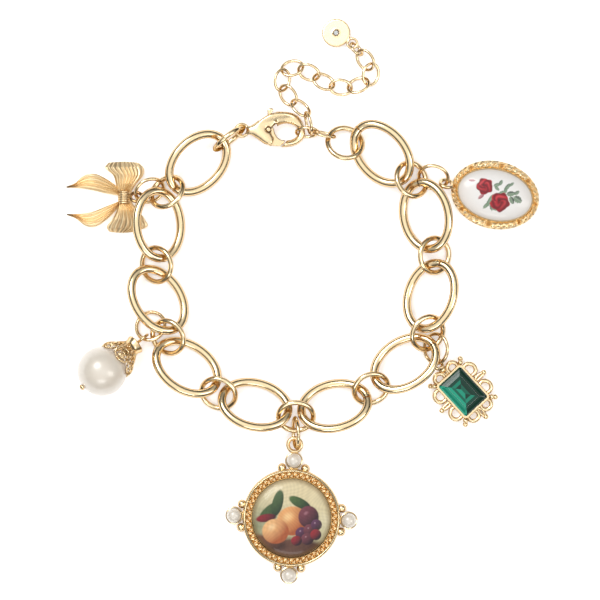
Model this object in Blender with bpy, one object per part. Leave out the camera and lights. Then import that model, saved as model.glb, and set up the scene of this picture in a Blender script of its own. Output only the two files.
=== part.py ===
"""Charm bracelet, lying clasped on a flat surface: ten oval links joined by round rings, a lobster
clasp, an extender chain with a tag, and five charms. Metres, +Z up, resting on z = 0."""

import math
from collections import namedtuple

import bmesh
import bpy
from mathutils import Euler, Matrix, Vector

MM = 0.001

# Large oval links of the main chain
LINK_LENGTH = 17.6 * MM
LINK_WIDTH = 13.2 * MM
LINK_WIRE = 2.0 * MM
LINK_SEAM = 0.3 * MM
LINK_SIDES = 16

# Round rings that join the oval links
RING_DIAMETER = 9.3 * MM
RING_WIRE = 1.2 * MM
RING_SIDES = 14

# Jump rings that carry the charms, and the eyes that they pass through
CHARM_RING_DIAMETER = 7.7 * MM
CHARM_RING_WIRE = 0.85 * MM
EYE_WIRE = 0.8 * MM
EYE_HOLE = 2.0 * MM
FLAT_EYE_HOLE = 2.3 * MM
FLAT_EYE_HEIGHT = 1.7 * MM

# Oval links of the extender chain
EXTENDER_LENGTH = 5.7 * MM
EXTENDER_WIDTH = 4.5 * MM
EXTENDER_WIRE = 0.65 * MM
EXTENDER_SIDES = 12

WIRE_SIDES = 6
FINE_WIRE_SIDES = 5
FINE_WIRE = 0.75 * MM
STONE_SIDES = 24
STONE_GAP = 0.12 * MM
CHAIN_SLACK = 2.6 * MM
LINK_PITCH = (
    LINK_LENGTH - 2 * LINK_WIRE + RING_DIAMETER - 2 * RING_WIRE - CHAIN_SLACK
)

# Lobster clasp
CLASP_LENGTH = 14.7 * MM
CLASP_THICKNESS = 3.4 * MM
CLASP_HEIGHT = 2.6 * MM
CLASP_NOSE_HEIGHT = 1.85 * MM
CLASP_EYE_HOLE = 2.0 * MM
CLASP_EYE_WIRE = 0.85 * MM
LEVER_THICKNESS = 1.4 * MM
LEVER_GAP = 0.15 * MM
PIN_DIAMETER = 0.9 * MM
PIN_GAP = 0.06 * MM
HOOK_GAP = 0.30 * MM

# Bow charm
BOW_WIDTH = 16.8 * MM
BOW_HEIGHT = 18.0 * MM
BOW_THICKNESS = 2.4 * MM
BOW_RIDGES = 6

# Pearl drop
PEARL_DIAMETER = 11.4 * MM
PEARL_HOLE = 1.1 * MM
PEARL_DIP = 15.5
HEADPIN_WIRE = 0.75 * MM
CAP_WALL = 0.45 * MM
CAP_HOLES = 6
CAP_HOLE = 1.6 * MM

# Round medallion
MEDALLION_DIAMETER = 22.7 * MM
MEDALLION_STONE = 18.0 * MM
MEDALLION_THICKNESS = 2.3 * MM
MEDALLION_BARS = 20
MEDALLION_DOME = 2.0 * MM
MEDALLION_SEAT_DEPTH = 1.2 * MM
MEDALLION_BEVEL = 0.2 * MM
MEDALLION_NECK_WIDTH = 1.4 * MM
MEDALLION_NECK_LOW = 0.7 * MM
MEDALLION_NECK_TOP = 2.0 * MM
CUP_HEIGHT = 1.7 * MM
CUP_SINK = 0.2 * MM
PEARL_SEAT = 0.3 * MM
SMALL_PEARL = 3.4 * MM
CUP_WALL = 0.45 * MM
GRAIN_DIAMETER = 2.0 * MM

# Rectangular green stone in its scrolled frame
GREEN_LENGTH = 9.6 * MM
GREEN_WIDTH = 7.0 * MM
GREEN_DEPTH = 3.5 * MM
COLLAR_WALL = 0.4 * MM
SCROLL_WIRE = 0.75 * MM
POINT_LENGTH = 2.2 * MM
GREEN_GRAIN = 1.2 * MM
GREEN_NECK = 1.8 * MM
GREEN_EYE_TURN = -15

# Oval charm with a porcelain stone
OVAL_LENGTH = 20.7 * MM
OVAL_WIDTH = 15.8 * MM
OVAL_BORDER_END = 1.75 * MM
OVAL_BORDER_SIDE = 2.15 * MM
OVAL_STONE_LENGTH = OVAL_LENGTH - 2 * OVAL_BORDER_END
OVAL_STONE_WIDTH = OVAL_WIDTH - 2 * OVAL_BORDER_SIDE
OVAL_DOME = 1.9 * MM
OVAL_THICKNESS = 2.0 * MM
OVAL_LOBES = 24

# Tag at the end of the extender
TAG_DIAMETER = 6.6 * MM
TAG_THICKNESS = 0.9 * MM
TAG_RING_DIAMETER = 4.1 * MM
TAG_STONE = 1.2 * MM
TAG_EYE_HOLE = 1.7 * MM
TAG_EYE_WIRE = 0.65 * MM
TAG_TIP_SHARE = 0.6

GOLD = ("gold", (0.93, 0.74, 0.43, 1.0), 1.0, 0.18)
PEARL = ("pearl", (0.90, 0.87, 0.82, 1.0), 0.0, 0.25)
PORCELAIN = ("porcelain", (0.92, 0.92, 0.92, 1.0), 0.0, 0.12)
ENAMEL = ("enamel", (0.80, 0.72, 0.52, 1.0), 0.0, 0.15)
GREEN = ("green_crystal", (0.01, 0.30, 0.18, 1.0), 0.0, 0.05)
CLEAR = ("clear_crystal", (0.90, 0.90, 0.90, 1.0), 0.0, 0.05)

# The route of the main chain. East and north are shares of LINK_PITCH from the middle of the loop.
# Heading, lean (over to the outside when negative) and tip (the forward end down when positive) are
# in degrees. Lift is a share of LINK_WIRE above where the piece would rest on the floor.
Place = namedtuple("Place", "east north heading lean tip lift")
OVAL_LINKS = (
    Place(-1.228, 1.345, 226, -20, 0, 0.4),
    Place(-1.735, 0.552, 274, -26, 0, 0.18),
    Place(-1.745, -0.418, 303, -22, 0, 0.3),
    Place(-1.372, -1.291, 326, -25, 0, 0.2),
    Place(-0.492, -1.773, 346, -27, 0, 0.2),
    Place(0.535, -1.789, 13, -26, 0, 0.1),
    Place(1.443, -1.240, 33, -24, 0, 0.15),
    Place(1.773, -0.369, 72, -24, 0, 0.3),
    Place(1.713, 0.668, 101, -24, 0, 0.15),
    Place(1.146, 1.466, 131, -22, 0, 0.25),
)
ROUND_RINGS = (
    Place(-1.625, 0.972, 222, 42, 0, 0.55),
    Place(-1.764, 0.032, 282, 34, 0, 0.12),
    Place(-1.614, -0.901, 305, 34, 0, 0.55),
    Place(-0.964, -1.628, 335, 34, 0, 0.1),
    Place(0.034, -1.924, 0, 34, 0, 0.55),
    Place(1.006, -1.566, 25, 34, 0, 0.0),
    Place(1.735, -0.848, 52, 34, 0, 0.55),
    Place(1.825, 0.155, 87, 34, 0, 0.0),
    Place(1.528, 1.133, 118, 34, 0, 0.55),
    Place(0.670, 1.605, 165, 30, 0, 0.15),
)
CLASP_RING = Place(-0.826, 1.662, 38, 82, 0, 0.0)

# The charms' jump rings: the round ring that each one hangs on, where its middle lies from that
# ring's (shares of CHARM_RING_DIAMETER), the direction towards its charm, its lean, and the turn
# round it at which its wire goes through the charm's eye
Hanging = namedtuple("Hanging", "ring east north heading lean turn")
BOW_RING = Hanging(1, -0.528, 0.045, 206, -44, 0)
PEARL_RING = Hanging(3, -0.530, 0.330, 214, 25, 26)
MEDALLION_RING = Hanging(5, 0.002, -0.486, 272, 80, -38)
GREEN_RING = Hanging(7, 0.255, -0.466, 274, 40, 0)
OVAL_RING = Hanging(9, 0.657, 0.071, 348, 40, -18)

# Where each charm points: the direction from its middle to its eye, in degrees
BOW_HEADING = 0
PEARL_HEADING = 39
MEDALLION_HEADING = 87.5
GREEN_HEADING = 132.5
OVAL_HEADING = 167
TAG_HEADING = -33

# The clasp: its heading, the turn round its ring at which the ring's wire goes through its eye, and
# where the extender hooks into it, as a share of CLASP_LENGTH to the side of its eye
CLASP_HEADING = 0.0
CLASP_RING_TURN = -30
CLASP_HOOK_Y = -0.070

# The extender's links, with the one that spans to the main chain first and the clasp's own second,
# then the tag's ring. East and north are shares of EXTENDER_LENGTH from the middle of the link in
# the clasp, and lift is a share of EXTENDER_WIRE.
EXTENDER_LINKS = (
    Place(0.699, 0.015, -13.7, 102.6, -3.4, 0.30),
    Place(0.003, 0.105, 3.3, 57.7, -11.4, 0.23),
    Place(0.070, 0.472, 104, -75, 3, 1.65),
    Place(-0.256, 1.089, 134, 45, 11, 0.9),
    Place(-0.760, 1.606, 124, -32, 1, 0.62),
    Place(-1.000, 2.220, 80, 31, 1, 0.95),
    Place(-0.593, 2.711, 14, -28, 0, 0.0),
    Place(0.081, 2.541, -24, 31, 1, 0.45),
    Place(0.683, 2.159, -27, -31, 0, 0.3),
    Place(1.374, 1.931, -6, 29, 0, 0.05),
    Place(2.089, 2.012, 23, -35, 1, 0.3),
    Place(2.593, 2.459, 78, 24, -1, 0.0),
    Place(2.374, 3.045, 123, -30, 0, 0.2),
)
TAG_RING = Place(2.010, 3.475, 133, 64, 0, 0.0)
TAG_RING_TURN = -22


def material(spec):
    """The Principled material of one finish, made once and shared."""
    name, colour, metallic, roughness = spec
    found = bpy.data.materials.get(name)
    if found:
        return found
    made = bpy.data.materials.new(name)
    made.use_nodes = True
    shader = made.node_tree.nodes["Principled BSDF"]
    shader.inputs["Base Color"].default_value = colour
    shader.inputs["Metallic"].default_value = metallic
    shader.inputs["Roughness"].default_value = roughness
    made.diffuse_color = colour
    return made


def mesh_object(name, points, faces, finish):
    """A mesh object from points and faces, with its faces turned outwards."""
    mesh = bpy.data.meshes.new(name)
    mesh.from_pydata([tuple(p) for p in points], [], faces)
    made = bmesh.new()
    made.from_mesh(mesh)
    bmesh.ops.recalc_face_normals(made, faces=made.faces)
    made.to_mesh(mesh)
    made.free()
    mesh.materials.append(material(finish))
    mesh.shade_smooth()
    mesh.set_sharp_from_angle(angle=math.radians(40))
    item = bpy.data.objects.new(name, mesh)
    bpy.context.scene.collection.objects.link(item)
    return item


def clear_scene():
    for item in list(bpy.data.objects):
        bpy.data.objects.remove(item)


def skin(rings, closed):
    """Faces over a row of equal rings of points: closed round, or with a cap at each end."""
    count = len(rings[0])
    points = [p for ring in rings for p in ring]
    faces = []
    spans = len(rings) if closed else len(rings) - 1
    for i in range(spans):
        a = i * count
        b = (i + 1) % len(rings) * count
        for j in range(count):
            k = (j + 1) % count
            faces.append((a + j, a + k, b + k, b + j))
    if not closed:
        faces.append(tuple(range(count)))
        faces.append(tuple(range(len(points) - count, len(points))))
    return points, faces


def wire_ring(centre, out, up, radius, sides):
    """The points round a wire's section, in the plane of out and up."""
    turn = 2 * math.pi / sides
    return [
        centre + radius * (math.cos(turn * i) * out + math.sin(turn * i) * up)
        for i in range(sides)
    ]


def oval_sections(length, width, wire, count, sides, seam):
    """The wire sections of an oval loop in its own XY plane. A seam leaves it open at its +X end."""
    long_half = (length - wire) / 2
    short_half = (width - wire) / 2
    up = Vector((0, 0, 1))
    opening = seam / short_half
    rings = []
    for i in range(count + 1 if seam else count):
        angle = opening / 2 + (2 * math.pi - opening) * i / count
        centre = Vector((long_half * math.cos(angle), short_half * math.sin(angle), 0))
        out = Vector((math.cos(angle) / long_half, math.sin(angle) / short_half, 0))
        rings.append(wire_ring(centre, out.normalized(), up, wire / 2, sides))
    return rings


def oval_loop(name, length, width, wire, count, seam=0.0, sides=WIRE_SIDES):
    """A loop of round wire in its own XY plane, closed or with a seam at its forward end."""
    sections = oval_sections(length, width, wire, count, sides, seam)
    points, faces = skin(sections, closed=not seam)
    return mesh_object(name, points, faces, GOLD)


def set_down(item, x, y, z, heading, lean=0.0, pitch=0.0):
    """Turns a piece to its heading, after it leans about its own X axis and pitches about its own Y."""
    item.location = (x, y, z)
    item.rotation_euler = Euler(
        (math.radians(lean), math.radians(pitch), math.radians(heading)), "XYZ"
    )
    return item


def revolved(name, profile, count, finish):
    """A solid turned round Z from a closed profile of (radius, height) points."""
    points = []
    faces = []
    index = []
    for radius, height in profile:
        if radius < 1e-7:
            index.append([len(points)] * count)
            points.append(Vector((0, 0, height)))
            continue
        index.append([len(points) + i for i in range(count)])
        for i in range(count):
            angle = 2 * math.pi * i / count
            points.append(
                Vector((radius * math.cos(angle), radius * math.sin(angle), height))
            )
    for a, b in zip(index, index[1:] + index[:1]):
        for i in range(count):
            j = (i + 1) % count
            corners = []
            for corner in (a[i], a[j], b[j], b[i]):
                if corner not in corners:
                    corners.append(corner)
            if len(corners) > 2:
                faces.append(tuple(corners))
    return mesh_object(name, points, faces, finish)


def prism(name, outline, low, high, finish):
    """An upright solid over an outline of (x, y) points."""
    rings = [
        [Vector((x, y, low)) for x, y in outline],
        [Vector((x, y, high)) for x, y in outline],
    ]
    points, faces = skin(rings, closed=False)
    return mesh_object(name, points, faces, finish)


def ball(name, centre, radius, count, finish, floor=None):
    """A round grain or pearl. Given a floor, all of it below that height is cut flat there."""
    rows = max(4, count // 2)
    profile = []
    for i in range(rows + 1):
        angle = math.pi * i / rows
        height = radius * math.cos(angle)
        if floor is not None and centre[2] + height < floor:
            drop = floor - centre[2]
            reach = math.sqrt(max(radius**2 - drop**2, 0))
            profile.append((reach, drop))
            profile.append((0.0, drop))
            break
        profile.append((radius * math.sin(angle) if 0 < i < rows else 0.0, height))
    item = revolved(name, profile, count, finish)
    item.data.transform(Matrix.Translation(centre))
    return item


def combine(target, others, operation, solver="EXACT"):
    """Joins others to the target, or cuts them from it, and leaves one plain mesh."""
    for other in others:
        step = target.modifiers.new(other.name, "BOOLEAN")
        step.operation = operation
        step.solver = solver
        step.object = other
    bpy.context.view_layer.update()
    graph = bpy.context.evaluated_depsgraph_get()
    mesh = bpy.data.meshes.new_from_object(target.evaluated_get(graph))
    target.modifiers.clear()
    target.data = mesh
    for other in others:
        bpy.data.objects.remove(other)
    return target


def shift(item, x=0.0, y=0.0, z=0.0, turn=None, axis="Z"):
    """Moves the mesh itself, after a turn about one axis, and leaves its object where it is."""
    if turn is not None:
        item.data.transform(Matrix.Rotation(math.radians(turn), 4, axis))
    item.data.transform(Matrix.Translation((x, y, z)))
    return item


def box(name, x0, x1, y0, y1, z0, z1, finish=GOLD):
    outline = ((x0, y0), (x1, y0), (x1, y1), (x0, y1))
    return prism(name, outline, z0, z1, finish)


def layered(name, layers, finish):
    """A solid over a row of (outline, height), from its lowest outline to its highest."""
    rings = [[Vector((x, y, z)) for x, y in outline] for outline, z in layers]
    points, faces = skin(rings, closed=False)
    return mesh_object(name, points, faces, finish)


def oval_outline(length, width, count, lobes=0, depth=0.0):
    outline = []
    for i in range(count):
        angle = 2 * math.pi * i / count
        swell = depth * math.cos(lobes * angle)
        x = (width / 2 + swell) * math.cos(angle)
        y = (length / 2 + swell) * math.sin(angle)
        outline.append((x, y))
    return outline


def wire_rise(width, length, wire, place):
    """How high the middle of a leaning loop of wire lies when its lowest side is on the floor."""
    lean = math.radians(place.lean)
    tip = math.radians(place.tip)
    across = (width - wire) / 2 * math.sin(lean) * math.cos(tip)
    along = (length - wire) / 2 * math.sin(tip)
    return math.hypot(across, along) + wire / 2


def lay_loop(name, place, unit, start, length, width, wire, count, seam=0.0, lift=None):
    """A loop of the chain, set down where its row of the route places it."""
    sides = WIRE_SIDES if wire > FINE_WIRE else FINE_WIRE_SIDES
    item = oval_loop(name, length, width, wire, count, seam, sides)
    lift_unit = wire if lift is None else lift
    height = wire_rise(width, length, wire, place) + place.lift * lift_unit
    x = start[0] + place.east * unit
    y = start[1] + place.north * unit
    return set_down(item, x, y, height, place.heading, place.lean, place.tip)


def make_chain():
    """The ten oval links and the ten round rings between them, as their route places them."""
    for number, place in enumerate(OVAL_LINKS, 1):
        lay_loop(
            f"oval_link_{number:02d}", place, LINK_PITCH, (0, 0),
            LINK_LENGTH, LINK_WIDTH, LINK_WIRE, LINK_SIDES, LINK_SEAM,
        )
    rings = []
    for number, place in enumerate(ROUND_RINGS, 1):
        ring = lay_loop(
            f"round_ring_{number:02d}", place, LINK_PITCH, (0, 0),
            RING_DIAMETER, RING_DIAMETER, RING_WIRE, RING_SIDES, 0.0, LINK_WIRE,
        )
        rings.append(ring)
    return rings


def wire_spot(item, length, width, wire, turn):
    """The point of a loop's wire at a turn round it, and the wire's direction there."""
    bpy.context.view_layer.update()
    angle = math.radians(turn)
    a = (length - wire) / 2
    b = (width - wire) / 2
    spot = item.matrix_world @ Vector((a * math.cos(angle), b * math.sin(angle), 0))
    along = Vector((-a * math.sin(angle), b * math.cos(angle), 0))
    return spot, item.matrix_world.to_3x3() @ along


def hang(name, hanging, rings):
    """A charm's jump ring on its round ring, and the spot where its wire meets the charm's eye."""
    ring = rings[hanging.ring - 1]
    place = Place(hanging.east, hanging.north, hanging.heading, hanging.lean, 0, 0.0)
    item = lay_loop(
        name, place, CHARM_RING_DIAMETER, ring.location,
        CHARM_RING_DIAMETER, CHARM_RING_DIAMETER, CHARM_RING_WIRE, RING_SIDES,
    )
    return wire_spot(
        item, CHARM_RING_DIAMETER, CHARM_RING_DIAMETER, CHARM_RING_WIRE, hanging.turn
    )


def attach(items, eye, spot, heading):
    """Sets a charm down with its eye, given in the charm's own frame, at a spot on its jump ring."""
    turn = Matrix.Rotation(math.radians(heading - 90), 4, "Z")
    offset = spot - turn @ Vector(eye)
    for item in items:
        item.matrix_world = Matrix.Translation((offset.x, offset.y, 0)) @ turn
    bpy.context.view_layer.update()


def eye_roll(wire, heading):
    """How far a charm's eye rolls about the charm's Y to stand square across its jump ring's wire."""
    turn = math.radians(heading)
    across = wire.x * math.sin(turn) - wire.y * math.cos(turn)
    return math.degrees(math.atan(wire.z / across))


def upright_eye(y, z, roll, turn=0.0):
    """A charm's eye that stands on edge, rolled and turned so that its jump ring passes through."""
    size = EYE_HOLE + 2 * EYE_WIRE
    eye = shift(oval_loop("eye", size, size, EYE_WIRE, 12), turn=90 - roll, axis="Y")
    return shift(eye, 0, y, z, turn=turn)


def flat_eye(y, z, hole, wire):
    size = hole + 2 * wire
    return shift(oval_loop("eye", size, size, wire, 10), 0, y, z)


def make_medallion(spot, _):
    """A round medallion: relief border, domed stone, four small pearls in cups and eight grains."""
    outer = MEDALLION_DIAMETER / 2
    stone = MEDALLION_STONE / 2
    seat = stone + STONE_GAP
    top = MEDALLION_THICKNESS
    lip = seat + 0.4 * MM
    rim = outer - 0.45 * MM
    band = top - 0.55 * MM
    floor = top - MEDALLION_SEAT_DEPTH
    profile = (
        (0.0, 0.0), (outer - 0.15 * MM, 0.0), (outer, MEDALLION_BEVEL),
        (outer, top - MEDALLION_BEVEL), (outer - MEDALLION_BEVEL, top), (rim, top - 0.1 * MM), (rim, band), (lip, band),
        (lip, top), (seat, top), (seat, floor), (0.0, floor),
    )
    frame = revolved("medallion_frame", profile, 28, GOLD)
    cup = SMALL_PEARL / 2 + CUP_WALL
    reach = outer + cup - CUP_SINK
    parts = []
    cutters = []
    pearls = []
    pearl_height = SMALL_PEARL / 2 + PEARL_SEAT
    for i in range(4):
        turn = 90 * i
        spin = Matrix.Rotation(math.radians(turn), 3, "Z")
        centre = spin @ Vector((0, reach, 0))
        body = revolved(
            "cup",
            ((0, 0), (cup - 0.2 * MM, 0), (cup, 0.3 * MM), (cup, CUP_HEIGHT), (0, CUP_HEIGHT)),
            10, GOLD,
        )
        parts.append(shift(body, centre.x, centre.y, 0))
        socket = ball("socket", (0, 0, 0), SMALL_PEARL / 2 + STONE_GAP, 10, GOLD)
        cutters.append(shift(socket, centre.x, centre.y, pearl_height))
        pearl = ball(f"medallion_pearl_{i + 1}", (0, 0, 0), SMALL_PEARL / 2, 10, PEARL)
        pearls.append(shift(pearl, centre.x, centre.y, pearl_height))
        for side in (-1, 1):
            grain = Vector((side * (cup + 0.32 * GRAIN_DIAMETER), outer + 0.1 * GRAIN_DIAMETER, 0))
            grain = spin @ grain
            bead = ball("grain", (0, 0, 0), GRAIN_DIAMETER / 2, 6, GOLD)
            parts.append(shift(bead, grain.x, grain.y, GRAIN_DIAMETER / 2))
    eye_y = reach + cup + FLAT_EYE_HOLE / 2 + EYE_WIRE - 0.3 * MM
    parts.append(flat_eye(eye_y, FLAT_EYE_HEIGHT, FLAT_EYE_HOLE, EYE_WIRE))
    neck = reach + cup
    half = MEDALLION_NECK_WIDTH / 2
    parts.append(
        box(
            "neck", -half, half, neck - 0.35 * MM, neck + 0.3 * MM,
            MEDALLION_NECK_LOW, MEDALLION_NECK_TOP,
        )
    )
    combine(frame, parts, "UNION")
    combine(frame, cutters, "DIFFERENCE")
    points = []
    faces = []
    inner = lip + 0.2 * MM
    far = rim - 0.1 * MM
    for i in range(MEDALLION_BARS):
        middle = 2 * math.pi * i / MEDALLION_BARS
        lean = 0.3 * math.pi / MEDALLION_BARS
        half = 0.45 * math.pi / MEDALLION_BARS
        start = len(points)
        for height, pull in ((band - 0.2 * MM, 1.0), (band + 0.35 * MM, 0.6)):
            for radius, edge in ((inner, -1), (inner, 1), (far, 1), (far, -1)):
                skew = lean if radius == far else -lean
                angle = middle + skew + edge * half * pull
                points.append(
                    Vector((radius * math.cos(angle), radius * math.sin(angle), height))
                )
        s = start
        faces.extend(
            [
                (s, s + 1, s + 2, s + 3), (s + 4, s + 5, s + 6, s + 7),
                (s, s + 1, s + 5, s + 4), (s + 1, s + 2, s + 6, s + 5),
                (s + 2, s + 3, s + 7, s + 6), (s + 3, s, s + 4, s + 7),
            ]
        )
    combine(frame, [mesh_object("bars", points, faces, GOLD)], "UNION")
    base = floor + STONE_GAP
    rise = MEDALLION_DOME
    dome = [(0.0, base), (stone, base), (stone, top)]
    for i in range(1, 5):
        angle = math.pi / 2 * i / 5
        dome.append((stone * math.cos(angle), top + rise * math.sin(angle)))
    dome.append((0.0, top + rise))
    cabochon = revolved("medallion_cabochon", dome, STONE_SIDES, ENAMEL)
    attach([frame, cabochon, *pearls], (0, eye_y, FLAT_EYE_HEIGHT), spot, MEDALLION_HEADING)


# The bow's four ribbons, from the knot out: how far each section lies from the knot, its two edges
# (shares of BOW_WIDTH for loops and of BOW_HEIGHT for tails) and its thickness (of BOW_THICKNESS)
Section = namedtuple("Section", "reach near far thick")
BOW_LEFT_LOOP = (
    Section(0.06, -0.085, 0.080, 0.85), Section(0.18, -0.11, 0.15, 1.0),
    Section(0.31, -0.15, 0.24, 1.0), Section(0.42, -0.26, 0.24, 0.8),
    Section(0.49, -0.21, 0.18, 0.45),
)
BOW_RIGHT_LOOP = (
    Section(0.06, -0.080, 0.085, 0.85), Section(0.18, -0.10, 0.17, 1.0),
    Section(0.31, -0.16, 0.26, 1.0), Section(0.43, -0.24, 0.27, 0.8),
    Section(0.49, -0.20, 0.13, 0.45),
)
BOW_LEFT_TAIL = (
    Section(0.06, -0.115, -0.020, 0.7), Section(0.23, -0.255, -0.050, 0.85),
    Section(0.39, -0.330, -0.090, 0.8), Section(0.53, -0.300, -0.117, 0.65),
    Section(0.64, -0.195, -0.128, 0.5), Section(0.755, -0.148, -0.130, 0.4),
)
BOW_RIGHT_TAIL = (
    Section(0.06, 0.045, 0.115, 0.7), Section(0.23, 0.122, 0.310, 0.85),
    Section(0.39, 0.190, 0.417, 0.8), Section(0.52, 0.220, 0.390, 0.65),
    Section(0.62, 0.228, 0.305, 0.5), Section(0.75, 0.228, 0.246, 0.4),
)


def ribbon(name, sections, tail, side):
    """One ribbon of the bow: a ridged strip that is flat below and puffed above."""
    rings = []
    count = BOW_RIDGES * 2
    for section in sections:
        thick = section.thick * BOW_THICKNESS
        ring = []
        for i in range(count + 1):
            share = i / count
            puff = math.sqrt(max(1 - (2 * share - 1) ** 2, 0))
            ridge = 0.06 * BOW_THICKNESS * (1 if i % 2 else -1)
            height = thick * (0.45 + 0.5 * puff) + (ridge if 0 < i < count else 0)
            across = section.near + share * (section.far - section.near)
            if tail:
                ring.append(Vector((across * BOW_HEIGHT, -section.reach * BOW_HEIGHT, height)))
            else:
                ring.append(Vector((side * section.reach * BOW_WIDTH, across * BOW_WIDTH, height)))
        for edge in (ring[count], ring[0]):
            ring.append(Vector((edge.x, edge.y, 0.1 * MM)))
        rings.append(ring)
    points, faces = skin(rings, closed=False)
    return mesh_object(name, points, faces, GOLD)


def make_bow(spot, along):
    """A ribbon bow with ridged loops and tails, a wrapped knot and an upright eye behind it."""
    bow = ribbon("bow_charm", BOW_LEFT_LOOP, False, -1)
    parts = [
        ribbon("loop", BOW_RIGHT_LOOP, False, 1),
        ribbon("tail", BOW_LEFT_TAIL, True, 1),
        ribbon("tail", BOW_RIGHT_TAIL, True, 1),
    ]
    half = 0.088 * BOW_WIDTH
    top = 1.15 * BOW_THICKNESS
    inset = 0.35 * MM
    knot = []
    for grow, height in ((0, 0.0), (0, 0.6 * top), (-inset, 0.9 * top), (-2 * inset, top)):
        w = half + grow
        knot.append((((-w, -half), (w, -half), (w, half), (-w, half)), height))
    parts.append(layered("knot", knot, GOLD))
    eye_y = half + EYE_HOLE / 2 + 0.4 * EYE_WIRE
    parts.append(upright_eye(eye_y, spot.z, eye_roll(along, BOW_HEADING)))
    combine(bow, parts, "UNION")
    attach([bow], (0, eye_y, 0), spot, BOW_HEADING)


def make_pearl(spot, _):
    """A drilled pearl under an open bell cap, on a headpin with a foot and an upright loop."""
    radius = PEARL_DIAMETER / 2
    hole = PEARL_HOLE / 2
    start = math.asin(hole / radius)
    rows = 10
    profile = []
    for i in range(rows + 1):
        angle = start + (math.pi - 2 * start) * i / rows
        profile.append((radius * math.sin(angle), radius * math.cos(angle)))
    pearl = revolved("pearl_bead", profile, 16, PEARL)
    wall = CAP_WALL
    pin = HEADPIN_WIRE / 2
    shape = (
        (0.87, 0.64), (0.80, 0.93), (0.59, 1.22), (0.40, 1.50), (0.36, 1.66),
        (0.41, 1.76), (0.40, 1.86),
    )
    outer = [(r * radius, h * radius) for r, h in shape]
    bore = pin + 0.12 * MM
    inner = [
        (outer[5][0] * 0.3 + bore * 0.7, outer[5][1]), (outer[4][0] - wall, outer[4][1]),
        (outer[3][0] - wall, outer[3][1]), (outer[2][0] - wall, outer[2][1] - 0.3 * wall),
        (outer[1][0] - wall, outer[1][1] - 0.3 * wall), (outer[0][0] - wall, outer[0][1]),
    ]
    profile = outer + [(bore, outer[-1][1]), (bore, outer[5][1])] + inner[1:]
    cap = revolved("pearl_cap", profile, 16, GOLD)
    cutters = []
    for i in range(CAP_HOLES):
        cutter = revolved(
            "hole",
            ((0, 0.36 * radius), (CAP_HOLE / 2, 0.36 * radius),
             (CAP_HOLE / 2, 1.1 * radius), (0, 1.1 * radius)),
            6, GOLD,
        )
        cutter.data.transform(Matrix.Rotation(math.radians(90), 4, "Y"))
        cutter.data.transform(Matrix.Translation((0, 0, 1.17 * radius)))
        cutter.data.transform(Matrix.Rotation(2 * math.pi * i / CAP_HOLES, 4, "Z"))
        cutters.append(cutter)
    combine(cap, cutters, "DIFFERENCE")
    foot = radius + STONE_GAP
    end = outer[-1][1] + STONE_GAP + HEADPIN_WIRE / 2
    headpin = revolved(
        "pearl_headpin",
        ((0, -foot - 0.7 * MM), (0.45 * MM, -foot - 0.6 * MM), (0.75 * MM, -foot - 0.25 * MM),
         (0.7 * MM, -foot), (pin, -foot), (pin, end), (0, end)),
        8, GOLD,
    )
    loop_size = EYE_HOLE + 2 * HEADPIN_WIRE
    loop = oval_loop("loop", loop_size, loop_size, HEADPIN_WIRE, 12)
    eye = end + (EYE_HOLE + HEADPIN_WIRE) / 2
    shift(shift(loop, turn=90, axis="Y"), 0, 0, eye)
    combine(headpin, [loop], "UNION")
    dip = math.radians(PEARL_DIP)
    lay = Matrix.Translation((0, 0, radius)) @ Matrix.Rotation(-math.pi / 2 - dip, 4, "X")
    drop = (pearl, cap, headpin)
    for item in drop:
        item.data.transform(lay)
    low = min(v.co.z for item in drop for v in item.data.vertices)
    for item in drop:
        shift(item, z=-low)
    attach(drop, (0, eye * math.cos(dip), 0), spot, PEARL_HEADING)


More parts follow.
